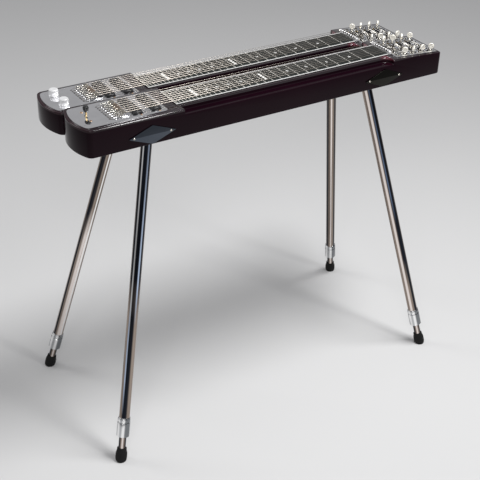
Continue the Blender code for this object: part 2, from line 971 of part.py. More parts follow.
def make_knob(neck, label, sign):
    """A fluted knob and its shaft, which turns in the control beneath the plate."""
    high = neck.top + plate_z
    place = Vector((knob_x, neck.y + sign * knob_half_spacing, high))
    outline = []
    for i in range(knob_flutes * 2):
        radius = knob_radius - (knob_flute_depth if i % 2 else 0)
        angle = math.pi * i / knob_flutes
        outline.append((radius * math.cos(angle), radius * math.sin(angle)))
    knob = slab(label, [outline], knob_lift, knob_height, "chrome", place)
    crown_radius = knob_radius - crown_inset
    crown = turned(
        label + "_crown",
        [
            (0, knob_height + crown_height),
            (crown_radius - crown_bevel, knob_height + crown_height),
            (crown_radius, knob_height - seat_gap),
            (crown_radius, knob_height - crown_root),
            (0, knob_height - crown_root),
        ],
        12,
        None,
        place,
    )
    combine(knob, crown, "UNION")
    shaft = cylinder(
        label + "_shaft",
        shaft_radius,
        place + Vector((0, 0, crown_root)),
        place - Vector((0, 0, shaft_depth)),
        10,
    )
    combine(knob, shaft, "UNION")
    return knob


def make_lever(neck):
    """The selector's blade with its barrel-shaped tip, swinging on a cross pin."""
    high = neck.top + plate_z
    place = Vector((switch_x, neck.y, high - lever_pivot_depth))
    rise = lever_pivot_depth + lever_height
    hub_half = switch_inner_width / 2 - turn_clearance
    lever = box(
        "selector_lever",
        (-lever_thickness / 2, -lever_width / 2, 0),
        (lever_thickness / 2, lever_width / 2, rise - lever_tip_length / 2),
        "black_plastic",
        place,
    )
    pin_half = switch_inner_width / 2 + switch_wall
    across = Vector((1, 0, 0))
    hub = cylinder(
        "selector_hub", lever_hub_radius, place - across * hub_half, place + across * hub_half, 12
    )
    pin = cylinder(
        "selector_pin", lever_pivot_radius, place - across * pin_half, place + across * pin_half, 10
    )
    tip = turned(
        "selector_tip",
        [
            (0, rise),
            (lever_tip_radius * 0.8, rise),
            (lever_tip_radius, rise - lever_tip_shoulder),
            (lever_tip_radius * 0.94, rise - lever_tip_length * 0.55),
            (lever_tip_radius * 0.72, rise - lever_tip_length),
            (0, rise - lever_tip_length),
        ],
        12,
        None,
        place,
    )
    for other in (hub, pin, tip):
        combine(lever, other, "UNION")
    return lever


def make_jack(neck):
    """The output socket: a flange on the body's side and a barrel with its bore."""
    x = tail_x + jack_offset_from_tail
    z = (body_bottom_height + neck.top) / 2
    face_y = neck.y + body_width / 2
    jack = turned(
        "output_jack",
        [
            (0, jack_flange_thickness + seat_gap),
            (jack_flange_radius - jack_flange_chamfer, jack_flange_thickness + seat_gap),
            (jack_flange_radius, jack_flange_thickness + seat_gap - jack_flange_chamfer),
            (jack_flange_radius, seat_gap),
            (jack_barrel_radius, seat_gap),
            (jack_barrel_radius, -jack_barrel_length + hole_reach),
            (0, -jack_barrel_length + hole_reach),
        ],
        14,
        "chrome",
        (x, face_y, z),
    )
    jack.rotation_euler = (-math.pi / 2, 0, 0)
    bore = cylinder(
        "output_jack_bore",
        jack_bore_radius,
        (x, face_y + jack_flange_thickness + hole_reach, z),
        (x, face_y - jack_bore_depth, z),
        14,
    )
    combine(jack, bore)
    return jack


def make_leg(label):
    """A telescoping leg: outer tube with its clamp collar, inner tube with its rubber tip."""
    mouth, lean = leg_mouths[label]
    frame = bpy.data.objects.new(label + "_leg_axis", None)
    guitar.objects.link(frame)
    frame.location = mouth
    frame.rotation_mode = "QUATERNION"
    frame.rotation_quaternion = (-lean).to_track_quat("Z", "Y")
    bpy.context.view_layer.update()
    length = body_bottom_height / -lean.z
    collar_low = -(length - tip_length - exposed_inner_length)
    collar_high = collar_low + collar_length
    bore = inner_tube_radius + slide_clearance
    tube_bore = outer_tube_radius - outer_tube_wall
    outer = turned(
        label + "_outer_tube",
        [
            (tube_bore, leg_socket_depth),
            (outer_tube_radius, leg_socket_depth),
            (outer_tube_radius, collar_high),
            (collar_radius - collar_chamfer, collar_high),
            (collar_radius, collar_high - collar_chamfer),
            (collar_radius, collar_low + collar_chamfer),
            (collar_radius - collar_chamfer, collar_low),
            (bore, collar_low),
            (bore, collar_high - 0.004),
            (tube_bore, collar_high - 0.002),
            (tube_bore, leg_socket_depth),
        ],
        leg_sides,
        "chrome",
        (0, 0, 0),
        frame,
    )
    sole = -(length - tip_sole)
    inner_high = sole + inner_tube_length
    tip_high = -(length - tip_length)
    inner_bore = inner_tube_radius - inner_tube_wall
    inner = turned(
        label + "_inner_tube",
        [
            (inner_bore, inner_high),
            (inner_tube_radius, inner_high),
            (inner_tube_radius, tip_high + seat_gap),
            (tip_neck_radius, tip_high),
            (tip_neck_radius, tip_high - tip_neck_length),
            (tip_radius, tip_high - tip_neck_length - tip_shoulder_length),
            (tip_radius, sole),
            (tip_radius * 0.93, -length),
            (tip_radius * 0.7, -(length + tip_dome * 0.8)),
            (0, -(length + tip_dome)),
            (0, sole + inner_floor),
            (inner_bore, sole + inner_floor),
            (inner_bore, inner_high),
        ],
        leg_sides,
        "rubber",
        (0, 0, 0),
        frame,
    )
    floor = box(
        label + "_floor_cut",
        (-floor_cut_half, -floor_cut_half, -floor_cut_half),
        (floor_cut_half, floor_cut_half, 0.0),
        None,
        (mouth + lean * length),
    )
    combine(inner, floor)
    return outer, inner


for neck in necks:
    make_body(neck)
    make_board(neck)
    make_nut(neck)
    make_plate(neck)
    make_pickup(neck, "bridge")
    make_pickup(neck, "neck")
    make_bridge(neck)
    make_pan(neck)
    for side in (-1, 1):
        for index in range(machines_per_side):
            make_post(neck, side, index)
            make_key(neck, side, index)

make_knob(necks[1], "volume_knob", -1)
make_knob(necks[1], "tone_knob", 1)
make_lever(necks[0])
make_jack(necks[1])
for label in leg_mouths:
    make_leg(label)
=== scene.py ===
import math
import bpy
from mathutils import Euler, Matrix, Vector


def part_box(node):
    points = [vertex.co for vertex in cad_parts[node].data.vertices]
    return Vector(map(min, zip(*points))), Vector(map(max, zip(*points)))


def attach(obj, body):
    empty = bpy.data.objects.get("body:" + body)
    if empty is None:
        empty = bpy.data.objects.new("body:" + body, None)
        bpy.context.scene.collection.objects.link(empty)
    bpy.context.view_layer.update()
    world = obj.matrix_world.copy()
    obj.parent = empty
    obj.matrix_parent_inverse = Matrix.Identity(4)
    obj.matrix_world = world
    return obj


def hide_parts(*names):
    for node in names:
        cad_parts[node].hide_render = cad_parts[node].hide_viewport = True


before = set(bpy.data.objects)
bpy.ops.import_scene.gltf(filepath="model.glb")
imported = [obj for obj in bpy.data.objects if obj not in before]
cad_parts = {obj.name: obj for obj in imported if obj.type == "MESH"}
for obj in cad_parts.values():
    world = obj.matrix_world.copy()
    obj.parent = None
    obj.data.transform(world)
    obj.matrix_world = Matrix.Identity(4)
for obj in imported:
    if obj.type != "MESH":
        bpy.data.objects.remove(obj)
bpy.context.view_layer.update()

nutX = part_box("front_nut")[0].x
headBreak = nutX + 0.005
headTilt = math.radians(4.2)


# The necks' centre lines and tops come from the CAD bodies in model.glb, and each head tips down behind its nut.
def readNeck(label):
    low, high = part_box(label + "_body")
    middle = (low.y + high.y) / 2
    pivot = Matrix.Translation((headBreak, middle, high.z))
    tip = pivot @ Matrix.Rotation(headTilt, 4, "Y") @ pivot.inverted()
    side = 1 if middle > 0 else -1
    return {"label": label, "low": low, "high": high, "y": middle, "top": high.z, "side": side, "tip": tip}


necks = [readNeck("front"), readNeck("rear")]
tailX = necks[1]["low"].x
headX = necks[1]["high"].x
stringLength = 0.6223
saddleX = nutX - stringLength
stringCount = 8
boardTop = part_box("front_fretboard")[1].z - necks[0]["top"]
stringRise = boardTop + 0.0065


# A node's output that takes part in sums: each operator adds a Math node.
class Value:
    def __init__(self, finish, output):
        self.finish = finish
        self.output = output

    def math(self, operation, first, second):
        made = self.finish.node("ShaderNodeMath", {"operation": operation}, {0: first, 1: second})
        return Value(self.finish, made.outputs[0])

    def __add__(self, other):
        return self.math("ADD", self, other)

    def __radd__(self, other):
        return self.math("ADD", other, self)

    def __sub__(self, other):
        return self.math("SUBTRACT", self, other)

    def __rsub__(self, other):
        return self.math("SUBTRACT", other, self)

    def __mul__(self, other):
        return self.math("MULTIPLY", self, other)

    def __rmul__(self, other):
        return self.math("MULTIPLY", other, self)

    def __truediv__(self, other):
        return self.math("DIVIDE", self, other)

    def __pow__(self, other):
        return self.math("POWER", self, other)

    def __gt__(self, other):
        return self.math("GREATER_THAN", self, other)


# One material: its Principled shader and the nodes that vary it over the surface.
class Finish:
    def __init__(self, name, color, roughness, metallic=0.0):
        self.material = bpy.data.materials.new(name)
        self.material.use_nodes = True
        self.tree = self.material.node_tree
        self.shader = self.tree.nodes["Principled BSDF"]
        self.place = self.node("ShaderNodeTexCoord").outputs["Object"]
        self.set("Base Color", (*color, 1))
        self.set("Roughness", roughness)
        self.set("Metallic", metallic)
        self.material.diffuse_color = (*color, 1)

    def node(self, kind, settings={}, inputs={}):
        made = self.tree.nodes.new(kind)
        for name, value in settings.items():
            setattr(made, name, value)
        for key, value in inputs.items():
            self.feed(made.inputs[key], value)
        return made

    def feed(self, socket, value):
        if isinstance(value, Value):
            value = value.output
        if isinstance(value, bpy.types.NodeSocket):
            self.tree.links.new(value, socket)
        else:
            socket.default_value = value

    def set(self, name, value):
        self.feed(self.shader.inputs[name], value)

    def noise(self, scale, detail=3.0, stretch=(1, 1, 1)):
        mapped = self.node("ShaderNodeMapping", {}, {"Vector": self.place, "Scale": stretch})
        made = self.node(
            "ShaderNodeTexNoise", {}, {"Vector": mapped.outputs[0], "Scale": scale, "Detail": detail}
        )
        return Value(self, made.outputs[0])

    def ramp(self, value, low, high):
        made = self.node("ShaderNodeMapRange", {}, {"Value": value, "From Min": low, "From Max": high})
        return Value(self, made.outputs[0])

    def mixColors(self, share, first, second):
        made = self.node(
            "ShaderNodeMix", {"data_type": "RGBA"}, {0: share, 6: self.asColor(first), 7: self.asColor(second)}
        )
        return made.outputs[2]

    def asColor(self, value):
        return value if isinstance(value, bpy.types.NodeSocket) else (*value, 1)

    def bump(self, height, depth):
        made = self.node("ShaderNodeBump", {}, {"Height": height, "Distance": depth})
        self.set("Normal", made.outputs[0])


# The rounded top edges and the steps keep their gloss coat, and a red sheen is painted on the coated edges near the
# ledges' head ends and at the tail end.
def lacquerFinish(neck):
    finish = Finish(neck["label"] + "Lacquer", (0.008, 0.002, 0.005), 0.10)
    split = finish.node("ShaderNodeSeparateXYZ", {}, {0: finish.place})
    across, along, height = [Value(finish, split.outputs[axis]) for axis in ("Y", "X", "Z")]
    rim = finish.ramp(height, neck["top"] - 0.0044, neck["top"] - 0.0034)
    step = finish.ramp(height, neck["top"] - 0.0135, neck["top"] - 0.0115)
    innerHalf = (neck["high"].y - neck["low"].y) / 2 - 0.0012
    inside = 1 - finish.ramp((across - neck["y"]) ** 2, innerHalf**2 - 0.00002, innerHalf**2)
    ledge = 0.06 * inside * finish.ramp(along, tailX + 0.19, tailX + 0.195) * step
    rim = rim * (0.4 + 0.6 * finish.ramp(along, tailX + 0.040, tailX + 0.070))
    gloss = rim + (1 - rim) * ledge
    # Painted highlight: a wine-red sheen painted into the base colour of the coated edges near each ledge's curved head
    # end and at the tail end.
    paintedRedSheen = finish.ramp(along, nutX - 0.030, nutX - 0.015) * (1 - finish.ramp(along, nutX - 0.009, nutX - 0.005))
    paintedRedSheen = gloss * (paintedRedSheen + 0.35 * finish.ramp(along, tailX + 0.030, tailX))
    cloud = finish.noise(7, 2)
    wine = finish.mixColors(cloud, (0.0046, 0.0010, 0.0027), (0.0090, 0.0018, 0.0048))
    finish.set("Base Color", finish.mixColors(paintedRedSheen, wine, (0.070, 0.007, 0.016)))
    dust = finish.noise(340, 4)
    finish.set("Roughness", 0.05 + 0.05 * finish.noise(26, 3) + 0.04 * (dust > 0.68))
    finish.set("Specular IOR Level", 0.10)
    finish.set("Coat Weight", gloss)
    finish.set("Coat Roughness", 0.02)
    finish.set("Coat IOR", 1.6)
    finish.bump(finish.noise(210, 2), 0.00002)
    return finish.material


def chromeFinish(name, color, roughness, smudge, grainStretch=(1, 1, 1)):
    finish = Finish(name, color, roughness, 1.0)
    worn = finish.noise(38, 4)
    shade = [c * 0.80 for c in color]
    finish.set("Base Color", finish.mixColors(worn, shade, color))
    finish.set("Roughness", roughness + smudge * finish.noise(95, 5) ** 2)
    finish.bump(finish.noise(420, 3, grainStretch), 0.000012)
    return finish.material


# Painted reflection: a mirror whose base colour is painted dark blue-grey as the reflection of a dark room, and painted
# shade darkens it towards +X, so the right-hand plates are nearly black.
def paintedReflectionMirrorFinish():
    finish = Finish("paintedReflectionMirror", (0.06, 0.07, 0.08), 0.06, 1.0)
    split = finish.node("ShaderNodeSeparateXYZ", {}, {0: finish.place})
    share = finish.ramp(Value(finish, split.outputs["X"]), -0.25, 0.24)
    paintedRoomReflection = finish.mixColors(finish.noise(22, 3), (0.055, 0.066, 0.084), (0.105, 0.118, 0.140))
    finish.set("Base Color", finish.mixColors(share, paintedRoomReflection, (0.026, 0.025, 0.022)))
    finish.set("Roughness", 0.05 + 0.12 * finish.noise(95, 5) ** 2)
    finish.bump(finish.noise(420, 3), 0.000012)
    return finish.material


def satinFinish():
    finish = Finish("satinNickel", (0.94, 0.94, 0.95), 0.36, 0.55)
    worn = finish.noise(120, 4)
    finish.set("Base Color", finish.mixColors(worn, (0.84, 0.84, 0.85), (0.97, 0.97, 0.98)))
    finish.set("Roughness", 0.28 + 0.14 * worn)
    finish.bump(worn, 0.00002)
    return finish.material


def buttonFinish():
    finish = Finish("buttonPearl", (0.90, 0.87, 0.79), 0.24, 0.35)
    cloud = finish.noise(150, 4)
    finish.set("Base Color", finish.mixColors(cloud, (0.74, 0.70, 0.60), (0.95, 0.93, 0.87)))
    finish.set("Roughness", 0.18 + 0.16 * cloud)
    finish.bump(cloud, 0.00004)
    return finish.material


def boardFinish():
    finish = Finish("boardSlate", (0.016, 0.018, 0.017), 0.42)
    streaks = finish.noise(60, 5, (0.25, 5, 1))
    slate = finish.mixColors(streaks, (0.010, 0.012, 0.011), (0.026, 0.029, 0.027))
    # Painted shade: the slate is painted darker towards the nut, as in the nut's shade.
    split = finish.node("ShaderNodeSeparateXYZ", {}, {0: finish.place})
    headEnd = finish.ramp(Value(finish, split.outputs["X"]), nutX - 0.30, nutX)
    finish.set("Base Color", finish.mixColors(0.7 * headEnd, slate, (0.006, 0.007, 0.0065)))
    finish.set("Roughness", 0.34 + 0.16 * finish.noise(120, 4))
    finish.set("Specular IOR Level", 0.16)
    finish.bump(streaks, 0.00005)
    return finish.material


# Polished tube: painted reflections run along it, bands and lines at set angles and fine streaks, as a mirror tube
# shows a dark room.
def tubeFinish(name, leg, color, paintedReflections):
    finish = Finish(name, color, 0.06, 1.0)
    settings = {"Vector": finish.place, "Location": leg["mouth"], "Rotation": leg["turn"].to_euler()}
    local = finish.node("ShaderNodeMapping", {"vector_type": "TEXTURE"}, settings).outputs[0]
    split = finish.node("ShaderNodeSeparateXYZ", {}, {0: local})
    x, y, along = [Value(finish, split.outputs[axis]) for axis in "XYZ"]
    # Painted reflection streaks along the tube.
    fine = finish.node("ShaderNodeMapping", {"vector_type": "TEXTURE"}, {**settings, "Scale": (1, 1, 60)}).outputs[0]
    streaks = Value(finish, finish.node("ShaderNodeTexNoise", {}, {"Vector": fine, "Scale": 190}).outputs[0])
    shade = finish.mixColors((streaks - 0.42) * 5, [c * 0.72 for c in color], color)
    radius = (x**2 + y**2) ** 0.5
    for middle, half, low, high, reflectedColor in paintedReflections:
        toward = math.radians(middle)
        facing = (x * math.cos(toward) + y * math.sin(toward)) / radius
        share = finish.ramp(facing, math.cos(math.radians(half * 1.3)), math.cos(math.radians(half * 0.7)))
        share = share * finish.ramp(along, low - 0.04, low + 0.04) * finish.ramp(along, high + 0.04, high - 0.04)
        shade = finish.mixColors(share * (0.85 + 0.3 * streaks), shade, reflectedColor)
    finish.set("Base Color", shade)
    finish.set("Roughness", 0.05 + 0.08 * finish.noise(60, 5) ** 2)
    finish.bump(streaks, 0.00001)
    return finish.material


def paintFinish(name, color, roughness=0.45):
    finish = Finish(name, color, roughness)
    worn = finish.noise(160, 4)
    finish.set("Base Color", finish.mixColors(worn, [c * 0.78 for c in color], color))
    finish.set("Roughness", roughness + 0.12 * worn)
    finish.bump(finish.noise(500, 2), 0.00003)
    return finish.material


def plasticFinish():
    finish = Finish("blackPlastic", (0.012, 0.012, 0.013), 0.25)
    haze = finish.noise(90, 4)
    finish.set("Base Color", finish.mixColors(haze, (0.008, 0.008, 0.009), (0.019, 0.019, 0.020)))
    finish.set("Roughness", 0.16 + 0.22 * haze)
    finish.bump(finish.noise(700, 2), 0.00002)
    return finish.material


def rubberFinish():
    finish = Finish("blackRubber", (0.006, 0.006, 0.006), 0.7)
    scuffs = finish.noise(130, 5)
    finish.set("Base Color", finish.mixColors(scuffs, (0.003, 0.003, 0.003), (0.010, 0.010, 0.010)))
    finish.set("Roughness", 0.55 + 0.3 * scuffs)
    finish.set("Specular IOR Level", 0.2)
    finish.bump(finish.noise(900, 3), 0.0001)
    return finish.material


chrome = chromeFinish("polishedChrome", (0.86, 0.865, 0.88), 0.05, 0.08)
plateChrome = chromeFinish("mirrorPlate", (0.95, 0.95, 0.97), 0.025, 0.04, (6, 1, 1))
nickel = chromeFinish("agedNickel", (0.74, 0.71, 0.65), 0.10, 0.16)
warmNickel = chromeFinish("warmNickel", (0.88, 0.83, 0.74), 0.12, 0.18)
brownNickel = chromeFinish("brownNickel", (0.55, 0.44, 0.36), 0.22, 0.25)
satinNickel = satinFinish()
paintedReflectionMirror = paintedReflectionMirrorFinish()
buttonPearl = buttonFinish()
darkSteel = chromeFinish("darkSteel", (0.20, 0.20, 0.21), 0.30, 0.20)
stringSteel = chromeFinish("stringSteel", (0.24, 0.215, 0.19), 0.26, 0.15, (1, 8, 8))
brass = chromeFinish("gearBrass", (0.70, 0.52, 0.25), 0.20, 0.20)
copperScrew = chromeFinish("copperScrew", (0.82, 0.58, 0.40), 0.20, 0.15)
slate = boardFinish()
linePaint = paintFinish("linePaint", (0.70, 0.68, 0.63))
borderPaint = paintFinish("borderPaint", (0.66, 0.66, 0.65), 0.35)
markPearl = paintFinish("markPearl", (0.86, 0.86, 0.84), 0.30)
blackPlastic = plasticFinish()
rubber = rubberFinish()
print("finishes made")


def selectOnly(piece):
    bpy.ops.object.select_all(action="DESELECT")
    piece.select_set(True)
    bpy.context.view_layer.objects.active = piece


def settle(piece, place=None):
    if place is not None:
        piece.matrix_world = place @ piece.matrix_world
    selectOnly(piece)
    bpy.ops.object.transform_apply(location=True, rotation=True, scale=True)
    return piece


def block(name, low, high):
    low, high = Vector(low), Vector(high)
    bpy.ops.object.select_all(action="DESELECT")
    bpy.ops.mesh.primitive_cube_add(size=1, location=(low + high) / 2, scale=high - low)
    piece = bpy.context.object
    piece.name = name
    return settle(piece)


# Selects the edges or faces whose corners pass the test, and leaves the piece in edit mode.
def pick(piece, part, test):
    selectOnly(piece)
    bpy.ops.object.mode_set(mode="EDIT")
    bpy.ops.mesh.select_mode(type="EDGE" if part == "edges" else "FACE")
    bpy.ops.mesh.select_all(action="DESELECT")
    bpy.ops.object.mode_set(mode="OBJECT")
    mesh = piece.data
    for element in mesh.edges if part == "edges" else mesh.polygons:
        element.select = test([mesh.vertices[index].co for index in element.vertices])
    bpy.ops.object.mode_set(mode="EDIT")


def bevelEdges(piece, test, width, segments):
    pick(piece, "edges", test)
    bpy.ops.mesh.bevel(offset=width, segments=segments, affect="EDGES")
    bpy.ops.object.mode_set(mode="OBJECT")


def isUpright(points):
    return len(points) == 2 and (points[0] - points[1]).to_2d().length < 1e-6


def modify(piece, kind, **settings):
    selectOnly(piece)
    made = piece.modifiers.new(kind.lower(), kind)
    for name, value in settings.items():
        setattr(made, name, value)
    bpy.ops.object.modifier_apply(modifier=made.name)
    return piece


def combine(piece, tool, operation="DIFFERENCE"):
    modify(piece, "BOOLEAN", object=tool, operation=operation, solver="EXACT")
    bpy.data.objects.remove(tool, do_unlink=True)
    return piece


def roundEdges(piece, width, segments=3, angle=35):
    return modify(
        piece,
        "BEVEL",
        width=width,
        segments=segments,
        limit_method="ANGLE",
        angle_limit=math.radians(angle),
        miter_outer="MITER_ARC",
    )


def joinAll(pieces):
    bpy.ops.object.select_all(action="DESELECT")
    for piece in pieces:
        piece.select_set(True)
    bpy.context.view_layer.objects.active = pieces[0]
    bpy.ops.object.join()
    return pieces[0]


def copyOf(piece, name, place=Matrix()):
    made = piece.copy()
    made.data = piece.data.copy()
    made.name = name
    bpy.context.scene.collection.objects.link(made)
    return settle(made, place)


def drop(*pieces):
    for piece in pieces:
        bpy.data.objects.remove(piece, do_unlink=True)


# Gives a finished piece its finish, its body and the CAD nodes that it stands for.
def dress(piece, material, body="guitar", replaces=(), smoothAngle=32):
    piece.data.materials.clear()
    piece.data.materials.append(material)
    selectOnly(piece)
    bpy.ops.object.shade_smooth_by_angle(angle=math.radians(smoothAngle))
    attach(piece, body)
    if replaces:
        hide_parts(*replaces)
    return piece


# A flat sheet or block: a circle's corners are moved to the outline, and its face is extruded.
def sheetFrom(name, outline, low, high):
    bpy.ops.object.select_all(action="DESELECT")
    bpy.ops.mesh.primitive_circle_add(vertices=len(outline), radius=1, fill_type="NGON")
    piece = bpy.context.object
    piece.name = name
    for corner, (x, y) in zip(piece.data.vertices, outline):
        corner.co = (x, y, low)
    bpy.ops.object.mode_set(mode="EDIT")
    bpy.ops.mesh.select_all(action="SELECT")
    bpy.ops.mesh.extrude_region_move(TRANSFORM_OT_translate={"value": (0, 0, high - low)})
    bpy.ops.mesh.select_all(action="SELECT")
    bpy.ops.mesh.normals_make_consistent(inside=False)
    bpy.ops.object.mode_set(mode="OBJECT")
    return piece


# A turned piece: a filled circle is extruded and resized ring by ring along its own Z.
def turnedFrom(name, rings, sides=40, base=(0, 0, 0), axis=(0, 0, 1)):
    radius, height = rings[0]
    bpy.ops.object.select_all(action="DESELECT")
    bpy.ops.mesh.primitive_circle_add(
        vertices=sides, radius=radius, fill_type="NGON", location=(0, 0, height)
    )
    piece = bpy.context.object
    piece.name = name
    bpy.ops.object.mode_set(mode="EDIT")
    bpy.ops.mesh.select_all(action="SELECT")
    for nextRadius, nextHeight in rings[1:]:
        bpy.ops.mesh.extrude_region_move(TRANSFORM_OT_translate={"value": (0, 0, nextHeight - height)})
        share = nextRadius / radius
        bpy.ops.transform.resize(value=(share, share, 1), center_override=(0, 0, nextHeight))
        radius, height = nextRadius, nextHeight
    bpy.ops.mesh.select_all(action="SELECT")
    bpy.ops.mesh.normals_make_consistent(inside=False)
    bpy.ops.object.mode_set(mode="OBJECT")
    turn = Vector(axis).to_track_quat("Z", "Y").to_matrix().to_4x4()
    return settle(piece, Matrix.Translation(base) @ turn)


def rod(name, radius, start, end, sides=24, edge=0.0):
    start, end = Vector(start), Vector(end)
    length = (end - start).length
    rings = [(radius - edge, 0), (radius, edge), (radius, length - edge), (radius - edge, length)]
    if edge == 0.0:
        rings = [(radius, 0), (radius, length)]
    return turnedFrom(name, rings, sides, start, end - start)


def wire(name, points, radius, sides=8):
    curve = bpy.data.curves.new(name, "CURVE")
    curve.dimensions = "3D"
    curve.bevel_depth = radius
    curve.bevel_resolution = max(0, sides // 4 - 1)
    curve.use_fill_caps = True
    spline = curve.splines.new("POLY")
    spline.points.add(len(points) - 1)
    for corner, point in zip(spline.points, points):
        corner.co = (*point, 1)
    piece = bpy.data.objects.new(name, curve)
    bpy.context.scene.collection.objects.link(piece)
    selectOnly(piece)
    bpy.ops.object.convert(target="MESH")
    piece = bpy.context.object
    bpy.ops.object.mode_set(mode="EDIT")
    bpy.ops.mesh.select_all(action="SELECT")
    bpy.ops.mesh.remove_doubles(threshold=0.00001)
    bpy.ops.mesh.normals_make_consistent(inside=False)
    bpy.ops.object.mode_set(mode="OBJECT")
    return piece


def arcPoints(center, radius, start, end, steps):
    points = []
    for step in range(steps + 1):
        angle = math.radians(start + (end - start) * step / steps)
        points.append((center[0] + radius * math.cos(angle), center[1] + radius * math.sin(angle)))
    return points


def roundedOutline(x0, x1, y0, y1, radius, steps=6):
    corners = (
        (x1 - radius, y0 + radius, -90),
        (x1 - radius, y1 - radius, 0),
        (x0 + radius, y1 - radius, 90),
        (x0 + radius, y0 + radius, 180),
    )
    return [point for x, y, start in corners for point in arcPoints((x, y), radius, start, start + 90, steps)]


def stringOffset(index, spacing):
    return (index - (stringCount - 1) / 2) * spacing


# Bodies: gloss lacquered wood with a stepped ledge along each side and a recess for the pan
panLook = {
    "x0": nutX + 0.009,
    "x1": headX - 0.0095,
    "half": 0.045,
    "depth": 0.022,
    "wall": 0.0014,
    "flange": 0.0032,
    "shelfTop": 0.0035,
    "shelf": 0.0012,
}
bodyLook = {
    "edge": 0.0045,
    "tailBulge": 0.015,
    "tailCorner": 0.013,
    "headCorner": 0.010,
    "ledgeDepth": 0.0105,
    "ledgeInset": 0.020,
    "ledgeTail": 0.219,
    "ledgeHead": 0.007,
    "ledgeRadius": 0.018,
    "pickupPocket": 0.010,
    "cavityDepth": 0.027,
    "socketRadius": 0.0114,
}


def consoleOutline(neck, inset, halfWidth, endX, endRadius, cornerRadius):
    fullWidth = neck["high"].y - neck["low"].y + 0.0003
    bulge = bodyLook["tailBulge"]
    bulgeRadius = (fullWidth**2 / 4 + bulge**2) / (2 * bulge) - inset
    centerX = neck["low"].x + inset + bulgeRadius
    side = halfWidth - cornerRadius
    reach = math.sqrt((bulgeRadius - cornerRadius) ** 2 - side**2)
    lean = math.degrees(math.atan2(side, reach))
    outline = arcPoints((endX - endRadius, -halfWidth + endRadius), endRadius, -90, 0, 6)
    outline += arcPoints((endX - endRadius, halfWidth - endRadius), endRadius, 0, 90, 6)
    outline += arcPoints((centerX - reach, side), cornerRadius, 90, 180 - lean, 8)
    outline += arcPoints((centerX, 0), bulgeRadius, 180 - lean, 180 + lean, 24)[1:-1]
    outline += arcPoints((centerX - reach, -side), cornerRadius, 180 + lean, 270, 8)
    return outline


def toNeck(neck, height=0.0):
    return Matrix.Translation((0, neck["y"], height))


stance = {"mouthX": 0.2633, "mouthY": 0.0600, "splayX": 12.08, "splayY": 10.58}
legs = {}
for corner in ("front_left", "front_right", "rear_left", "rear_right"):
    signX = -1 if "left" in corner else 1
    signY = -1 if "front" in corner else 1
    lean = Vector((0, 0, -1))
    lean.x = signX * math.tan(math.radians(stance["splayX"]))
    lean.y = signY * math.tan(math.radians(stance["splayY"]))
    mouth = Vector((signX * stance["mouthX"], signY * stance["mouthY"], necks[0]["low"].z))
    turn = Vector((0, 0, -1)).rotation_difference(lean).to_matrix().to_4x4()
    legs[corner] = {"mouth": mouth, "lean": lean.normalized(), "signY": signY, "turn": turn}


def addBody(neck):
    name = neck["label"] + "Body"
    low, top = neck["low"].z, neck["high"].z
    halfWidth = (neck["high"].y - neck["low"].y) / 2
    outline = consoleOutline(
        neck, 0, halfWidth, neck["high"].x, bodyLook["headCorner"], bodyLook["tailCorner"]
    )
    body = settle(sheetFrom(name, outline, low, top), toNeck(neck))
    wallY = halfWidth - bodyLook["ledgeInset"]
    x0 = tailX + bodyLook["ledgeTail"]
    x1 = nutX - bodyLook["ledgeHead"]
    radius = bodyLook["ledgeRadius"]
    for side in (-1, 1):
        curve = arcPoints((x1 - radius, wallY + radius), radius, -90, 0, 12)
        outline = [(x0, wallY)] + curve + [(x1, 0.1), (x0, 0.1)]
        outline = [(x, side * y) for x, y in outline]
        notch = sheetFrom(name + "Notch", outline, top - bodyLook["ledgeDepth"], top + 0.01)
        combine(body, settle(notch, toNeck(neck)))
    slope = block(name + "Slope", (headBreak - 0.01, neck["y"] - 0.08, top), (headX + 0.01, neck["y"] + 0.08, top + 0.03))
    combine(body, settle(slope, neck["tip"]))
    roundEdges(body, bodyLook["edge"], 5, 40)
    pocket = block(
        name + "Pocket",
        (panLook["x0"] - 0.0003, neck["y"] - panLook["half"] - 0.0003, top - panLook["depth"] - 0.0003),
        (panLook["x1"] + 0.0003, neck["y"] + panLook["half"] + 0.0003, top + 0.01),
    )
    combine(body, settle(pocket, neck["tip"]))
    for label in ("bridge", "neck"):
        boxLow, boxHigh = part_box(f"{neck['label']}_{label}_pickup")
        pocketLow = (boxLow.x - 0.0006, boxLow.y - 0.0006, top - bodyLook["pickupPocket"])
        pocketHigh = (boxHigh.x + 0.0006, boxHigh.y + 0.0006, top + 0.01)
        combine(body, block(name + "Pocket", pocketLow, pocketHigh))
    cavity = roundedOutline(-0.4125, -0.3715, -0.037, 0.037, 0.006)
    cavity = sheetFrom(name + "Cavity", cavity, top - bodyLook["cavityDepth"], top + 0.01)
    combine(body, settle(cavity, toNeck(neck)))
    for leg in legs.values():
        if leg["signY"] == neck["side"]:
            start = leg["mouth"] + leg["lean"] * 0.02
            hole = rod(name + "Socket", bodyLook["socketRadius"], start, start - leg["lean"] * 0.0503, 32)
            combine(body, hole)
    if neck["side"] > 0:
        center = (tailX + 0.0885, neck["high"].y + 0.01, (low + top) / 2)
        hole = rod(name + "JackHole", 0.0083, center, Vector(center) - Vector((0, 0.0323, 0)), 32)
        combine(body, hole)
    return dress(body, lacquerFinish(neck), "guitar", [neck["label"] + "_body"])


for neck in necks:
    addBody(neck)
print("bodies made")


# Fretboards: dark plates with pale fret lines, borders and position marks
boardLook = {
    "lineWidth": 0.0010,
    "lineRise": 0.00012,
    "borderWidth": 0.0021,
    "trim": 0.0004,
    "dotRadius": 0.0032,
    "barLength": 0.034,
    "barWidth": 0.0052,
    "lastFret": 30,
}


def fretX(number):
    return nutX - stringLength * (1 - 2 ** (-number / 12))


def boardHalf(x):
    return 0.0288 + (0.0327 - 0.0288) * (nutX - x) / stringLength


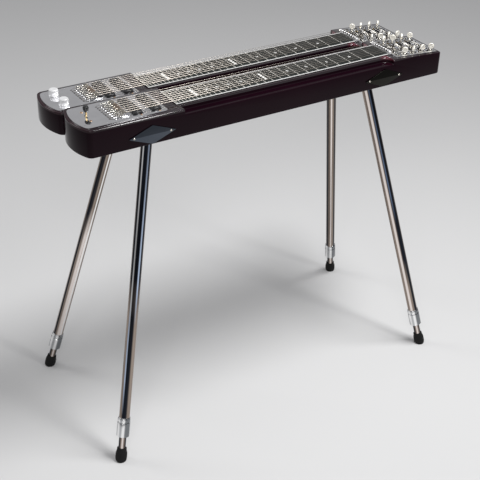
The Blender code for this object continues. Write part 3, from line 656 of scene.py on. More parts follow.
def addBoard(neck):
    name = neck["label"] + "Fretboard"
    low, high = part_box(neck["label"] + "_fretboard")
    trim = boardLook["trim"]
    outline = [(low.x + trim, trim - boardHalf(low.x)), (high.x - trim, trim - boardHalf(high.x))]
    outline += [(x, -y) for x, y in reversed(outline)]
    board = settle(sheetFrom(name, outline, low.z, high.z), toNeck(neck))
    roundEdges(board, 0.0003, 2)
    dress(board, slate, "guitar", [neck["label"] + "_fretboard"])
    top = high.z - 0.00002
    rise = high.z + boardLook["lineRise"]
    lines = []
    for number in range(1, boardLook["lastFret"] + 1):
        x = fretX(number)
        half = boardHalf(x) - boardLook["borderWidth"]
        width = boardLook["lineWidth"] / 2
        lines.append(block(name + "Line", (x - width, neck["y"] - half, top), (x + width, neck["y"] + half, rise)))
    lines.append(
        block(
            name + "Line",
            (low.x + 0.0006, neck["y"] - boardHalf(low.x) + 0.001, top),
            (low.x + 0.0022, neck["y"] + boardHalf(low.x) - 0.001, rise),
        )
    )
    dress(joinAll(lines), linePaint, "guitar").name = neck["label"] + "FretLines"
    strips = []
    for side in (-1, 1):
        outer = [(low.x + 0.0002, boardHalf(low.x)), (high.x - 0.0002, boardHalf(high.x))]
        inner = [(x, y - boardLook["borderWidth"]) for x, y in reversed(outer)]
        outline = [(x, side * y) for x, y in outer + inner]
        strip = sheetFrom(name + "Border", outline, high.z - 0.0007, high.z + 0.0002)
        strips.append(settle(strip, toNeck(neck)))
    dress(joinAll(strips), borderPaint, "guitar").name = neck["label"] + "BoardBorder"
    marks = []
    for number in (3, 5, 7, 9, 12, 15, 17, 19, 21, 24):
        x = (fretX(number) + fretX(number - 1)) / 2
        if number % 12:
            start = Vector((x, neck["y"], top))
            marks.append(rod(name + "Mark", boardLook["dotRadius"], start, start + Vector((0, 0, 0.00018)), 32))
            continue
        half = boardLook["barLength"] / 2
        width = boardLook["barWidth"] / 2
        outline = roundedOutline(x - width, x + width, -half, half, 0.0008, 3)
        marks.append(settle(sheetFrom(name + "Mark", outline, top, high.z + 0.00016), toNeck(neck)))
    dress(joinAll(marks), markPearl, "guitar").name = neck["label"] + "PositionMarks"


for neck in necks:
    addBoard(neck)
print("fretboards made")


# Nuts: bright combs whose rounded teeth stand between the strings
nutLook = {"half": 0.032, "top": stringRise + 0.0008, "slotLow": stringRise - 0.0022, "slotHalf": 0.0022, "thickness": 0.004}
nutSpacing = 0.0076
bridgeSpacing = 0.0084


def addNut(neck):
    top, slotLow, slotHalf = nutLook["top"], nutLook["slotLow"] - 0.0016, nutLook["slotHalf"]
    edges = [-nutLook["half"] + 0.0022]
    for index in range(stringCount):
        middle = stringOffset(index, nutSpacing)
        edges += [middle - slotHalf, middle + slotHalf]
    edges.append(nutLook["half"] - 0.0022)
    outline = [(edges[0], 0.0003)]
    for left, right in zip(edges[::2], edges[1::2]):
        outline.append((left, slotLow))
        middle, radius = (left + right) / 2, (right - left) / 2
        for point in arcPoints((0, 0), 1, 160, 20, 8):
            outline.append((middle + radius * point[0], slotLow + (top - slotLow) * (0.35 + 0.65 * point[1])))
        outline.append((right, slotLow))
    outline.append((edges[-1], 0.0003))
    outline.reverse()
    nut = sheetFrom(neck["label"] + "Nut", outline, 0, nutLook["thickness"])
    stand = Matrix.Rotation(math.pi / 2, 4, "Z") @ Matrix.Rotation(math.pi / 2, 4, "X")
    settle(nut, Matrix.Translation((nutX, neck["y"], neck["top"])) @ stand)
    roundEdges(nut, 0.00045, 2, 50)
    # A round cap closes each end, and the strings lie on a black bar at the bottom of the gaps, a dark piece put there
    # as painted shade.
    parts = [nut]
    middle = (nutX + nutLook["thickness"] / 2, neck["y"], neck["top"] + stringRise - 0.0030)
    for side in (-1, 1):
        rings = [(0.0012, -0.0062), (0.0023, -0.0058), (0.0023, -0.0024), (0.0028, -0.0020), (0.0032, -0.0014), (0.0032, -0.0008), (0.0026, -0.0002), (0.0014, 0)]
        end = Vector(middle) + Vector((0, side * nutLook["half"], 0))
        parts.append(turnedFrom(nut.name + "Cap", rings, 28, end, (0, side, 0)))
    reach = Vector((0, nutLook["half"] - 0.003, 0.0007))
    low = Vector(middle) - Vector((0, reach.y, -reach.z))
    gapShade = rod(nut.name + "Bar", 0.0012, low, Vector(middle) + reach, 16)
    dress(gapShade, blackPlastic, "guitar")
    dress(joinAll(parts), satinNickel, "guitar", [neck["label"] + "_nut"], 40)


for neck in necks:
    addNut(neck)
print("nuts made")


# Control plates: chrome sheets with windows, string holes and screws
plateLook = {"inset": 0.006, "half": 0.0465, "headEnd": 0.081, "endCorner": 0.007, "corner": 0.011, "edge": 0.0002, "holeBack": 0.034}
plateTop = 0.0019
knobX = tailX + 0.0355
selectorX = tailX + 0.0405


def screwHead(name, center, radius, facing=(0, 0, 1), turn=0.0):
    head = turnedFrom(name, [(radius * 0.95, -0.0006), (radius, 0), (radius * 0.72, radius * 0.32), (radius * 0.3, radius * 0.44)], 20)
    slot = block(name + "Slot", (-radius * 1.2, -radius * 0.11, radius * 0.14), (radius * 1.2, radius * 0.11, radius))
    combine(head, slot)
    place = Matrix.Translation(center) @ Vector(facing).to_track_quat("Z", "Y").to_matrix().to_4x4()
    return settle(head, place @ Matrix.Rotation(math.radians(turn), 4, "Z"))


def addPlate(neck):
    name = neck["label"] + "ControlPlate"
    low, high = neck["top"] + 0.0003, neck["top"] + plateTop
    endX = saddleX + plateLook["headEnd"]
    outline = consoleOutline(neck, plateLook["inset"], plateLook["half"], endX, plateLook["endCorner"], plateLook["corner"])
    plate = settle(sheetFrom(name, outline, low, high), toNeck(neck))
    roundEdges(plate, plateLook["edge"], 2, 40)
    for label in ("bridge", "neck"):
        boxLow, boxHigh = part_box(neck["label"] + "_" + label + "_pickup")
        margin = Vector((0.0006, 0.0006, 0.02))
        combine(plate, block(name + "Window", boxLow - margin, boxHigh + margin))
    holeX = saddleX - plateLook["holeBack"]
    holes = []
    for index in range(stringCount):
        center = Vector((holeX, neck["y"] + stringOffset(index, bridgeSpacing), low - 0.005))
        holes.append(rod(name + "Hole", 0.0017, center, center + Vector((0, 0, 0.02)), 16))
    combine(plate, joinAll(holes))
    if neck["side"] < 0:
        slotLow = (selectorX - 0.0014, neck["y"] - 0.0065, low - 0.005)
        slotHigh = (selectorX + 0.0014, neck["y"] + 0.0065, high + 0.005)
        combine(plate, block(name + "Slot", slotLow, slotHigh))
        walls = [
            block(name + "Wall", (selectorX + x, neck["y"] - 0.020, high - 0.020), (selectorX + x + 0.0014, neck["y"] + 0.020, low + 0.0002))
            for x in (-0.0052, 0.0038)
        ]
        plate = joinAll([plate] + walls)
    else:
        cans = []
        for side in (-1, 1):
            base = (knobX, neck["y"] + side * 0.024, high - 0.012)
            cans.append(turnedFrom(name + "Can", [(0.0105, 0), (0.0115, 0.001), (0.0115, 0.0109)], 32, base))
        plate = joinAll([plate] + cans)
    dress(plate, plateChrome, "guitar", [neck["label"] + "_control_plate"])
    screws = []
    for x, y in ((-0.4065, -0.033), (-0.4065, 0.033), (-0.2455, -0.040), (-0.2455, 0.040), (-0.362, -0.041), (-0.362, 0.041)):
        screws.append(screwHead(name + "Screw", (x, neck["y"] + y, high), 0.0016, turn=x * 9000 + y * 7000))
    dress(joinAll(screws), plateChrome, "guitar").name = neck["label"] + "PlateScrews"
    screws = []
    for label in ("bridge", "neck"):
        boxLow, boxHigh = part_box(f"{neck['label']}_{label}_pickup")
        for y in (-0.0410, 0.0410):
            screws.append(screwHead(name + "Screw", ((boxLow.x + boxHigh.x) / 2 + 0.004, neck["y"] + y, high), 0.0022, turn=y * 900))
    dress(joinAll(screws), copperScrew, "guitar").name = neck["label"] + "PickupScrews"
    if neck["side"] < 0:
        screws = [screwHead(name + "Screw", (selectorX, neck["y"] + y, high), 0.0030, turn=y * 3000) for y in (-0.02065, 0.02065)]
        dress(joinAll(screws), copperScrew, "guitar").name = "selectorScrews"


for neck in necks:
    addPlate(neck)
print("control plates made")


# Pickups: black covers with bowed ends, and their height screws
pickupLook = {"edge": 0.0011, "bow": 0.0022}


def addPickup(neck, label):
    name = neck["label"] + label.capitalize() + "Pickup"
    low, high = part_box(f"{neck['label']}_{label}_pickup")
    halfX, halfY, bow = (high.x - low.x) / 2, (high.y - low.y) / 2, pickupLook["bow"]
    radius = (halfX**2 + bow**2) / (2 * bow)
    spread = math.degrees(math.asin(halfX / radius))
    outline = arcPoints((0, -halfY + radius), radius, -90 - spread, -90 + spread, 10)
    outline += arcPoints((0, halfY - radius), radius, 90 - spread, 90 + spread, 10)
    cover = sheetFrom(name, outline, low.z, high.z)
    settle(cover, Matrix.Translation(((low.x + high.x) / 2, (low.y + high.y) / 2, 0)))
    roundEdges(cover, pickupLook["edge"], 4)
    dress(cover, blackPlastic, "guitar", [f"{neck['label']}_{label}_pickup"])
    screws = []
    for y in (low.y + 0.0042, high.y - 0.0042):
        screws.append(screwHead(name + "Screw", ((low.x + high.x) / 2, y, high.z), 0.0015, turn=y * 9000))
    dress(joinAll(screws), nickel, "guitar").name = name + "Screws"


for neck in necks:
    for label in ("bridge", "neck"):
        addPickup(neck, label)
print("pickups made")


# Bridges and strings
bridgeLook = {"half": 0.0345, "back": 0.022, "front": 0.005, "footLow": 0.0022, "footHigh": 0.0034, "wallHigh": 0.0066}
stringLook = {"thickest": 0.00058, "thinnest": 0.00030, "windings": 3}
machineLook = {
    "firstKey": 0.0375,
    "spacing": 0.0245,
    "rowOffset": 0.0362,
    "keyToPost": 0.0079,
    "postDepth": 0.0105,
    "postInner": 0.010,
    "railOffset": 0.0310,
}


def keyX(index):
    return nutX + machineLook["firstKey"] + index * machineLook["spacing"]


def stringRadius(index):
    share = index / (stringCount - 1)
    return stringLook["thickest"] + (stringLook["thinnest"] - stringLook["thickest"]) * share


# A bent base plate carries eight saddles, each with its own screw and spring, between two ears.
def addBridge(neck):
    name = neck["label"] + "Bridge"
    half, back, top = bridgeLook["half"], bridgeLook["back"], neck["top"]
    footLow, footHigh = bridgeLook["footLow"], bridgeLook["footHigh"]
    foot = block(
        name,
        (saddleX - back, neck["y"] - half, top + footLow),
        (saddleX + bridgeLook["front"], neck["y"] + half, top + footHigh),
    )
    roundEdges(foot, 0.0004, 3)
    outline = [(-half, footHigh - 0.0005)]
    for index in range(stringCount):
        middle = stringOffset(index, bridgeSpacing)
        outline += [(middle - 0.0012, bridgeLook["wallHigh"]), (middle - 0.0009, 0.0040)]
        outline += [(middle + 0.0009, 0.0040), (middle + 0.0012, bridgeLook["wallHigh"])]
    outline.append((half, footHigh - 0.0005))
    outline.insert(1, (-half, bridgeLook["wallHigh"]))
    outline.insert(-1, (half, bridgeLook["wallHigh"]))
    outline.reverse()
    wall = sheetFrom(name + "Wall", outline, 0, 0.0012)
    stand = Matrix.Rotation(math.pi / 2, 4, "Z") @ Matrix.Rotation(math.pi / 2, 4, "X")
    settle(wall, Matrix.Translation((saddleX - back, neck["y"], top)) @ stand)
    pieces = [foot, wall]
    for side in (-1, 1):
        ear = roundedOutline(-0.0075, 0.0045, footLow, stringRise, 0.0022, 5)
        ear = sheetFrom(name + "Ear", ear, -0.0007, 0.0007)
        place = Vector((saddleX, neck["y"] + side * (half - 0.0008), top))
        settle(ear, Matrix.Translation(place) @ Matrix.Rotation(math.pi / 2, 4, "X"))
        eye = Vector((-0.0040, 0, stringRise - 0.0024))
        combine(ear, rod(name + "Eye", 0.0011, place + eye - Vector((0, 0.01, 0)), place + eye + Vector((0, 0.01, 0)), 20))
        pieces += [ear, screwHead(name + "Screw", (saddleX - 0.0185, neck["y"] + side * (half - 0.0022), top + footHigh), 0.0014, turn=40)]
    whole = dress(joinAll(pieces), chrome, "guitar", [neck["label"] + "_bridge_and_strings"])
    saddles, worn, springs = [], [], []
    for index in range(stringCount):
        y = neck["y"] + stringOffset(index, bridgeSpacing)
        high = stringRise - stringRadius(index) + 0.00008
        outline = [(-0.0058, footHigh + 0.0002), (0.0030, footHigh + 0.0002), (0.0030, high - 0.0024)]
        outline += arcPoints((0.0004, high - 0.0026), 0.0026, 0, 110, 10) + [(-0.0058, high - 0.0016)]
        saddle = sheetFrom(name + "Saddle", outline, -0.0036, 0.0036)
        settle(saddle, Matrix.Translation((saddleX, y, top)) @ Matrix.Rotation(math.pi / 2, 4, "X"))
        # The three middle saddles get a brown nickel finish.
        (worn if index in (3, 4, 5) else saddles).append(roundEdges(saddle, 0.00035, 2, 40))
        axis = Vector((0, y + 0.0022, top + 0.0051))
        start, end = axis + Vector((saddleX - back - 0.0005, 0, 0)), axis + Vector((saddleX - 0.004, 0, 0))
        springs.append(rod(name + "Rod", 0.0006, start, end, 12))
        springs.append(turnedFrom(name + "RodHead", [(0.0011, -0.0014), (0.0014, -0.0011), (0.0014, 0), (0.0012, 0.0003)], 16, start, (1, 0, 0)))
        turns = []
        for step in range(9 * 12 + 1):
            angle = math.radians(30 * step)
            along = start.x + 0.0022 + 0.0130 * step / (9 * 12)
            turns.append((along, axis.y + 0.00115 * math.cos(angle), axis.z + 0.00115 * math.sin(angle)))
        springs.append(wire(name + "Spring", turns, 0.00030, 8))
    dress(joinAll(saddles), nickel, "guitar").name = neck["label"] + "Saddles"
    dress(joinAll(worn), brownNickel, "guitar").name = neck["label"] + "BrownSaddles"
    dress(joinAll(springs), nickel, "guitar", smoothAngle=60).name = neck["label"] + "SaddleSprings"


def addStrings(neck):
    strings = []
    for index in range(stringCount):
        radius = stringRadius(index)
        yBridge = neck["y"] + stringOffset(index, bridgeSpacing)
        yNut = neck["y"] + stringOffset(index, nutSpacing)
        side = -1 if index < stringCount / 2 else 1
        order = index if side < 0 else stringCount - 1 - index
        postX = keyX(order) - machineLook["keyToPost"]
        postY = neck["y"] + side * (machineLook["railOffset"] - 0.0042 * (order + 1))
        top = neck["top"]
        postTop = top - machineLook["postDepth"] + 0.003 + radius + 0.00025
        holeX = saddleX - plateLook["holeBack"]
        points = [
            (holeX, yBridge, top + 0.0004),
            (holeX + 0.0004, yBridge, top + 0.0022),
            (holeX + 0.0016, yBridge, top + 0.0036),
            (saddleX - 0.0022, yBridge, top + stringRise - 0.0007),
            (saddleX - 0.0008, yBridge, top + stringRise - 0.0001),
            (saddleX + 0.0008, yBridge, top + stringRise),
            (nutX + 0.0012, yNut, top + stringRise),
            (nutX + 0.0036, yNut, top + stringRise - 0.0002),
            (nutX + 0.0052, yNut + (postY - yNut) * 0.03, top + stringRise - 0.0012),
            neck["tip"] @ Vector((postX - 0.0008, postY, postTop + 0.0002)),
            neck["tip"] @ Vector((postX, postY, postTop)),
        ]
        strings.append(wire(neck["label"] + "String", points, radius, 8))
        turns = []
        steps = 20
        for step in range(stringLook["windings"] * steps + 1):
            angle = math.radians(90 - 360 * step / steps)
            reach = postTop - (top - machineLook["postDepth"])
            along = -side * 2.15 * radius * step / steps
            turns.append(
                (
                    postX + reach * math.cos(angle),
                    postY + along,
                    top - machineLook["postDepth"] + reach * math.sin(angle),
                )
            )
        place = "inner" if side * neck["side"] < 0 else "outer"
        post = f"{neck['label']}_{place}_post_{order + 1}"
        coil = wire(neck["label"] + place.capitalize() + f"Winding{order + 1}", turns, radius, 8)
        dress(settle(coil, neck["tip"]), stringSteel, post, smoothAngle=60)
    dress(joinAll(strings), stringSteel, "guitar", smoothAngle=60).name = neck["label"] + "Strings"


for neck in necks:
    addBridge(neck)
    addStrings(neck)
print("bridges and strings made")


# Tuner pans: recessed trays with a rail for the posts and a shelf for the keys


def addPan(neck):
    name = neck["label"] + "TunerPan"
    x0, x1, flange = panLook["x0"], panLook["x1"], panLook["flange"]
    y, top, wall, half = neck["y"], neck["top"], panLook["wall"], panLook["half"]
    floorTop = top - panLook["depth"] + wall
    rimOutline = roundedOutline(x0 - flange, x1 + flange, -half - flange, half + flange, 0.004)
    pan = settle(sheetFrom(name, rimOutline, top + 0.0003, top + 0.0013), toNeck(neck))
    roundEdges(pan, 0.00035, 2, 40)
    combine(pan, block(name + "Tray", (x0, y - half, top - panLook["depth"]), (x1, y + half, top + 0.0006)), "UNION")
    hollow = sheetFrom(
        name + "Hollow", roundedOutline(x0 + wall, x1 - wall, -half + wall, half - wall, 0.002, 4), floorTop, top + 0.01
    )
    combine(pan, settle(hollow, toNeck(neck)))
    for side in (-1, 1):
        railY = sorted((y + side * machineLook["railOffset"], y + side * (machineLook["railOffset"] + wall)))
        rail = block(name + "Rail", (x0 + wall / 2, railY[0], floorTop - 0.0005), (x1 - wall / 2, railY[1], top - 0.0036))
        shelfY = sorted((y + side * (machineLook["railOffset"] + wall / 2), y + side * (half - wall / 2)))
        shelfHigh = top - panLook["shelfTop"]
        shelf = block(name + "Shelf", (x0 + wall / 2, shelfY[0], shelfHigh - panLook["shelf"]), (x1 - wall / 2, shelfY[1], shelfHigh))
        holes, slots = [], []
        for index in range(4):
            postX = keyX(index) - machineLook["keyToPost"]
            postZ = top - machineLook["postDepth"]
            holes.append(rod(name + "Cut", 0.0033, (postX, railY[0] - 0.002, postZ), (postX, railY[1] + 0.002, postZ), 24))
            keyY = y + side * machineLook["rowOffset"]
            slots.append(rod(name + "Cut", 0.0022, (keyX(index), keyY, shelfHigh - 0.004), (keyX(index), keyY, shelfHigh + 0.003), 24))
            slotY = sorted((y + side * (machineLook["railOffset"] - 0.001), keyY + side * 0.0026))
            slots.append(
                block(name + "Cut", (postX - 0.0066, slotY[0], shelfHigh - 0.004), (postX + 0.00196, slotY[1], shelfHigh + 0.003))
            )
        combine(rail, joinAll(holes))
        for slot in slots:
            combine(shelf, slot)
        combine(pan, rail, "UNION")
        combine(pan, shelf, "UNION")
    dress(settle(pan, neck["tip"]), chrome, "guitar", [neck["label"] + "_tuner_pan"])
    screws = []
    for x in (x0 + 0.0013, x1 - 0.0013):
        for offset in (-0.0464, 0.0464):
            screws.append(screwHead(name + "Screw", (x, y + offset, top + 0.0013), 0.0016, turn=x * 5000 + offset * 900))
    for index in range(4):
        for side in (-1, 1):
            screws.append(
                screwHead(name + "Screw", (keyX(index) + 0.0075, y + side * 0.0405, top - panLook["shelfTop"]), 0.0014, turn=index * 40)
            )
    screws = settle(joinAll(screws), neck["tip"])
    dress(screws, nickel, "guitar").name = neck["label"] + "PanScrews"


for neck in necks:
    addPan(neck)
print("tuner pans made")


# Tuning machines: a key with its worm, and a string post with its gear wheel
gearLook = {"teeth": 10, "outer": 0.0056, "root": 0.0042, "width": 0.0032}
wormLook = {"lead": 2 * math.pi * 0.0049 / 10, "turns": 1.5, "shaft": 0.0019, "outer": 0.0031}
buttonLook = {"radius": 0.0065, "thickness": 0.0042, "height": 0.0095}
buttonTurns = {
    "front_outer": (48, 138, 95, 48),
    "front_inner": (120, 48, 150, 55),
    "rear_inner": (140, 75, 125, 100),
    "rear_outer": (48, 138, 128, 145),
}


def makeKey():
    shaft = rod("tuningKey", wormLook["shaft"], (0, 0, -0.0203), (0, 0, 0.0056), 20, 0.0003)
    threadRadius = 0.00075
    reach = wormLook["outer"] - threadRadius
    turns = []
    steps = 24
    total = round(steps * wormLook["turns"])
    for step in range(total + 1):
        share = step / total
        angle = math.radians(360 * wormLook["turns"] * share)
        height = -machineLook["postDepth"] + (share - 0.5) * wormLook["turns"] * wormLook["lead"]
        turns.append((reach * math.cos(angle), reach * math.sin(angle), height))
    thread = wire("wormThread", turns, threadRadius, 8)
    washer = turnedFrom("keyWasher", [(0.0030, -0.0033), (0.0034, -0.0030), (0.0034, -0.0024), (0.0024, -0.0020)], 28)
    collar = turnedFrom("keyCollar", [(0.0022, -0.0006), (0.0027, 0.0002), (0.0025, 0.0012), (0.0018, 0.0020)], 24)
    return joinAll([shaft, thread, washer, collar])


# The button is a thick coin with a dished face on each side.
def makeButton():
    radius, half = buttonLook["radius"], buttonLook["thickness"] / 2
    rings = [
        (radius * 0.50, -half + 0.0005),
        (radius * 0.66, -half + 0.0003),
        (radius * 0.80, -half),
        (radius * 0.92, -half + 0.0003),
        (radius * 0.985, -half + 0.0009),
        (radius, 0),
        (radius * 0.985, half - 0.0009),
        (radius * 0.92, half - 0.0003),
        (radius * 0.80, half),
        (radius * 0.66, half - 0.0003),
        (radius * 0.50, half - 0.0005),
    ]
    return turnedFrom("keyButton", rings, 32, (0, 0, buttonLook["height"]), (1, 0, 0))


def makePost():
    outline = []
    step = 2 * math.pi / gearLook["teeth"]
    crossing = (0.5 - wormLook["turns"] / 2) * wormLook["lead"] / 0.0049
    for tooth in range(gearLook["teeth"]):
        middle = crossing + (tooth + 0.5) * step
        for radius, offset in (
            (gearLook["root"], -0.30),
            (gearLook["outer"], -0.11),
            (gearLook["outer"], 0.11),
            (gearLook["root"], 0.30),
        ):
            angle = middle + offset * step
            outline.append((radius * math.cos(angle), radius * math.sin(angle)))
    gear = sheetFrom("stringPost", outline, -gearLook["width"] / 2, gearLook["width"] / 2)
    roundEdges(gear, 0.00018, 2, 50)
    hub = turnedFrom("gearHub", [(0.0026, -0.0022), (0.0030, -0.0018), (0.0030, 0.0018), (0.0026, 0.0022)], 24)
    bolt = screwHead("gearBolt", (0, 0, 0.0021), 0.0020, turn=30)
    return settle(joinAll([gear, hub, bolt]), Matrix.Rotation(-math.pi / 2, 4, "X"))


def makeShank():
    shank = rod("postShank", 0.003, (0, 0, -0.0262), (0, 0, 0), 28, 0.0004)
    combine(shank, rod("postEye", 0.0008, (-0.005, 0, -0.018), (0.005, 0, -0.018), 12))
    return settle(shank, Matrix.Rotation(-math.pi / 2, 4, "X"))


keyModel = makeKey()
buttonModel = makeButton()
postModel = makePost()
shankModel = makeShank()
for neck in necks:
    for side in (-1, 1):
        place = "inner" if side * neck["side"] < 0 else "outer"
        for index in range(4):
            stem = f"{neck['label']}_{place}"
            title = neck["label"] + place.capitalize()
            center = (keyX(index), neck["y"] + side * machineLook["rowOffset"], neck["top"])
            stand = neck["tip"] @ Matrix.Translation(center)
            key = copyOf(keyModel, f"{title}Key{index + 1}", stand)
            dress(key, nickel, f"{stem}_key_{index + 1}", [f"{stem}_key_{index + 1}"], 50)
            facing = Matrix.Rotation(math.radians(buttonTurns[stem][index]), 4, "Z")
            button = copyOf(buttonModel, f"{title}Button{index + 1}", stand @ facing)
            dress(button, buttonPearl, f"{stem}_key_{index + 1}", smoothAngle=60)
            center = (keyX(index) - machineLook["keyToPost"], center[1], neck["top"] - machineLook["postDepth"])
            stand = neck["tip"] @ Matrix.Translation(center)
            half = Matrix.Rotation(math.pi, 4, "X") if side < 0 else Matrix()
            post = copyOf(postModel, f"{title}Gear{index + 1}", stand @ half)
            dress(post, brass, f"{stem}_post_{index + 1}", [f"{stem}_post_{index + 1}"], 40)
            shank = copyOf(shankModel, f"{title}Post{index + 1}", stand @ half)
            dress(shank, nickel, f"{stem}_post_{index + 1}", smoothAngle=40)
drop(keyModel, buttonModel, postModel, shankModel)
print("tuning machines made")


# Knobs, selector lever and output jack
knobLook = {"radius": 0.0094, "height": 0.0122, "flutes": 32, "fluteDepth": 0.0006}


def addKnob(node, y):
    outline = []
    for step in range(knobLook["flutes"] * 2):
        radius = knobLook["radius"] - (knobLook["fluteDepth"] if step % 2 else 0)
        angle = math.pi * step / knobLook["flutes"]
        outline.append((radius * math.cos(angle), radius * math.sin(angle)))
    knob = sheetFrom(node, outline, 0.0006, knobLook["height"])
    roundEdges(knob, 0.0004, 2, 60)
    groove = turnedFrom(node + "Skirt", [(0.0091, 0.0004), (0.0097, 0.0006), (0.0097, 0.0016), (0.0090, 0.0022)], 48)
    shaft = rod(node + "Shaft", 0.003, (0, 0, -0.009), (0, 0, 0.002), 20)
    place = Matrix.Translation((knobX, y, necks[1]["top"] + plateTop))
    high = knobLook["height"]
    rings = [(0.0080, high - 0.0003), (0.0080, high + 0.0005), (0.0077, high + 0.0009), (0.0040, high + 0.0010), (0.0010, high + 0.0010)]
    cap = turnedFrom(node + "Cap", rings, 48)
    knob = settle(joinAll([knob, groove, shaft]), place)
    title = node.split("_")[0] + "Knob"
    knob.name = title
    dress(knob, satinNickel, node, [node])
    dress(settle(cap, place), satinNickel, node).name = title + "Cap"


addKnob("volume_knob", necks[1]["y"] - 0.024)
addKnob("tone_knob", necks[1]["y"] + 0.024)


def addSelector():
    pivot = Vector((selectorX, necks[0]["y"], necks[0]["top"] + plateTop - 0.009))
    rise = 0.031
    stem = block("selectorStem", (-0.0009, -0.0023, 0), (0.0009, 0.0023, rise - 0.005))
    roundEdges(stem, 0.0003, 2)
    hub = rod("selectorHub", 0.003, (-0.0035, 0, 0), (0.0035, 0, 0), 24, 0.0003)
    pin = rod("selectorPin", 0.0015, (-0.0052, 0, 0), (0.0052, 0, 0), 20, 0.0002)
    stem = settle(joinAll([stem, hub, pin]), Matrix.Translation(pivot))
    dress(stem, brass, "selector_lever", ["selector_lever"])
    rings = [
        (0.0036, rise - 0.0110),
        (0.0044, rise - 0.0107),
        (0.0051, rise - 0.0080),
        (0.0056, rise - 0.0045),
        (0.0057, rise - 0.0022),
        (0.0054, rise - 0.0008),
        (0.0046, rise - 0.0001),
        (0.0020, rise),
    ]
    tip = turnedFrom("selectorTip", rings, 32, pivot)
    dress(tip, blackPlastic, "selector_lever", smoothAngle=60)


addSelector()


def addJack():
    center = Vector((tailX + 0.0885, 0.1143, 0.704))
    flange = turnedFrom(
        "outputJack", [(0.0080, -0.021), (0.0080, 0.0001), (0.0115, 0.0001), (0.0115, 0.0010), (0.0107, 0.0018)], 48
    )
    nut = turnedFrom("jackNut", [(0.0072, 0.0016), (0.0075, 0.0022), (0.0075, 0.0036), (0.0068, 0.0042)], 6)
    combine(flange, nut, "UNION")
    combine(flange, rod("jackBore", 0.0048, (0, 0, -0.019), (0, 0, 0.006), 36))
    settle(flange, Matrix.Translation(center) @ Matrix.Rotation(-math.pi / 2, 4, "X"))
    dress(flange, chrome, "guitar", ["output_jack"])


addJack()
print("controls made")


# Legs: chrome tubes with a clamp collar, a sliding inner tube and a rubber tip
legLook = {
    "outer": 0.0111,
    "inner": 0.0078,
    "collar": 0.0140,
    "collarLength": 0.045,
    "tip": 0.01225,
    "tipLength": 0.029,
    "exposed": 0.027,
    "intoBody": 0.030,
}
# Painted reflection colours: brown is the painted reflection of a brown floor, black and dusk of a dark room, pale,
# blue and white of its lights.
black, brown, pale = (0.014, 0.017, 0.024), (0.36, 0.295, 0.25), (0.86, 0.78, 0.74)
blue, dusk, white = (0.52, 0.62, 0.80), (0.13, 0.18, 0.28), (1.0, 1.0, 1.0)
# Each painted reflection band: the angle that it faces, its half width in degrees, its lower and upper end, its colour.
legPaintedReflections = {
    "front_left": [
        (-116, 75, -0.34, 0.1, black),
        (-124, 28, -1.0, -0.34, black),
        (-146, 7, -0.40, 0.1, white),
        (-148, 7, -0.56, -0.38, blue),
        (-89, 8, -0.36, 0.1, blue),
    ],
    "front_right": [
        (-138, 13, -1.0, 0.1, pale),
        (-88, 31, -0.50, 0.1, black),
        (-78, 19, -1.0, -0.46, black),
        (-105, 7, -0.32, 0.1, dusk),
    ],
    "rear_left": [
        (-150, 24, -0.30, 0.1, black),
        (-101, 30, -1.0, -0.28, pale),
        (-86, 7, -1.0, 0.1, white),
        (-170, 14, -1.0, -0.28, black),
    ],
    "rear_right": [
        (-122, 8, -1.0, 0.1, pale),
        (-175, 16, -1.0, 0.1, black),
        (-75, 14, -1.0, 0.1, black),
    ],
}
innerPaintedReflections = [(-175, 24, -1.0, 0.1, black), (-62, 22, -1.0, 0.1, black), (-118, 12, -1.0, 0.1, pale)]
collarPaintedReflections = [(-80, 24, -1.0, 0.1, (0.20, 0.21, 0.22)), (-122, 12, -1.0, 0.1, white), (-172, 14, -1.0, 0.1, white)]


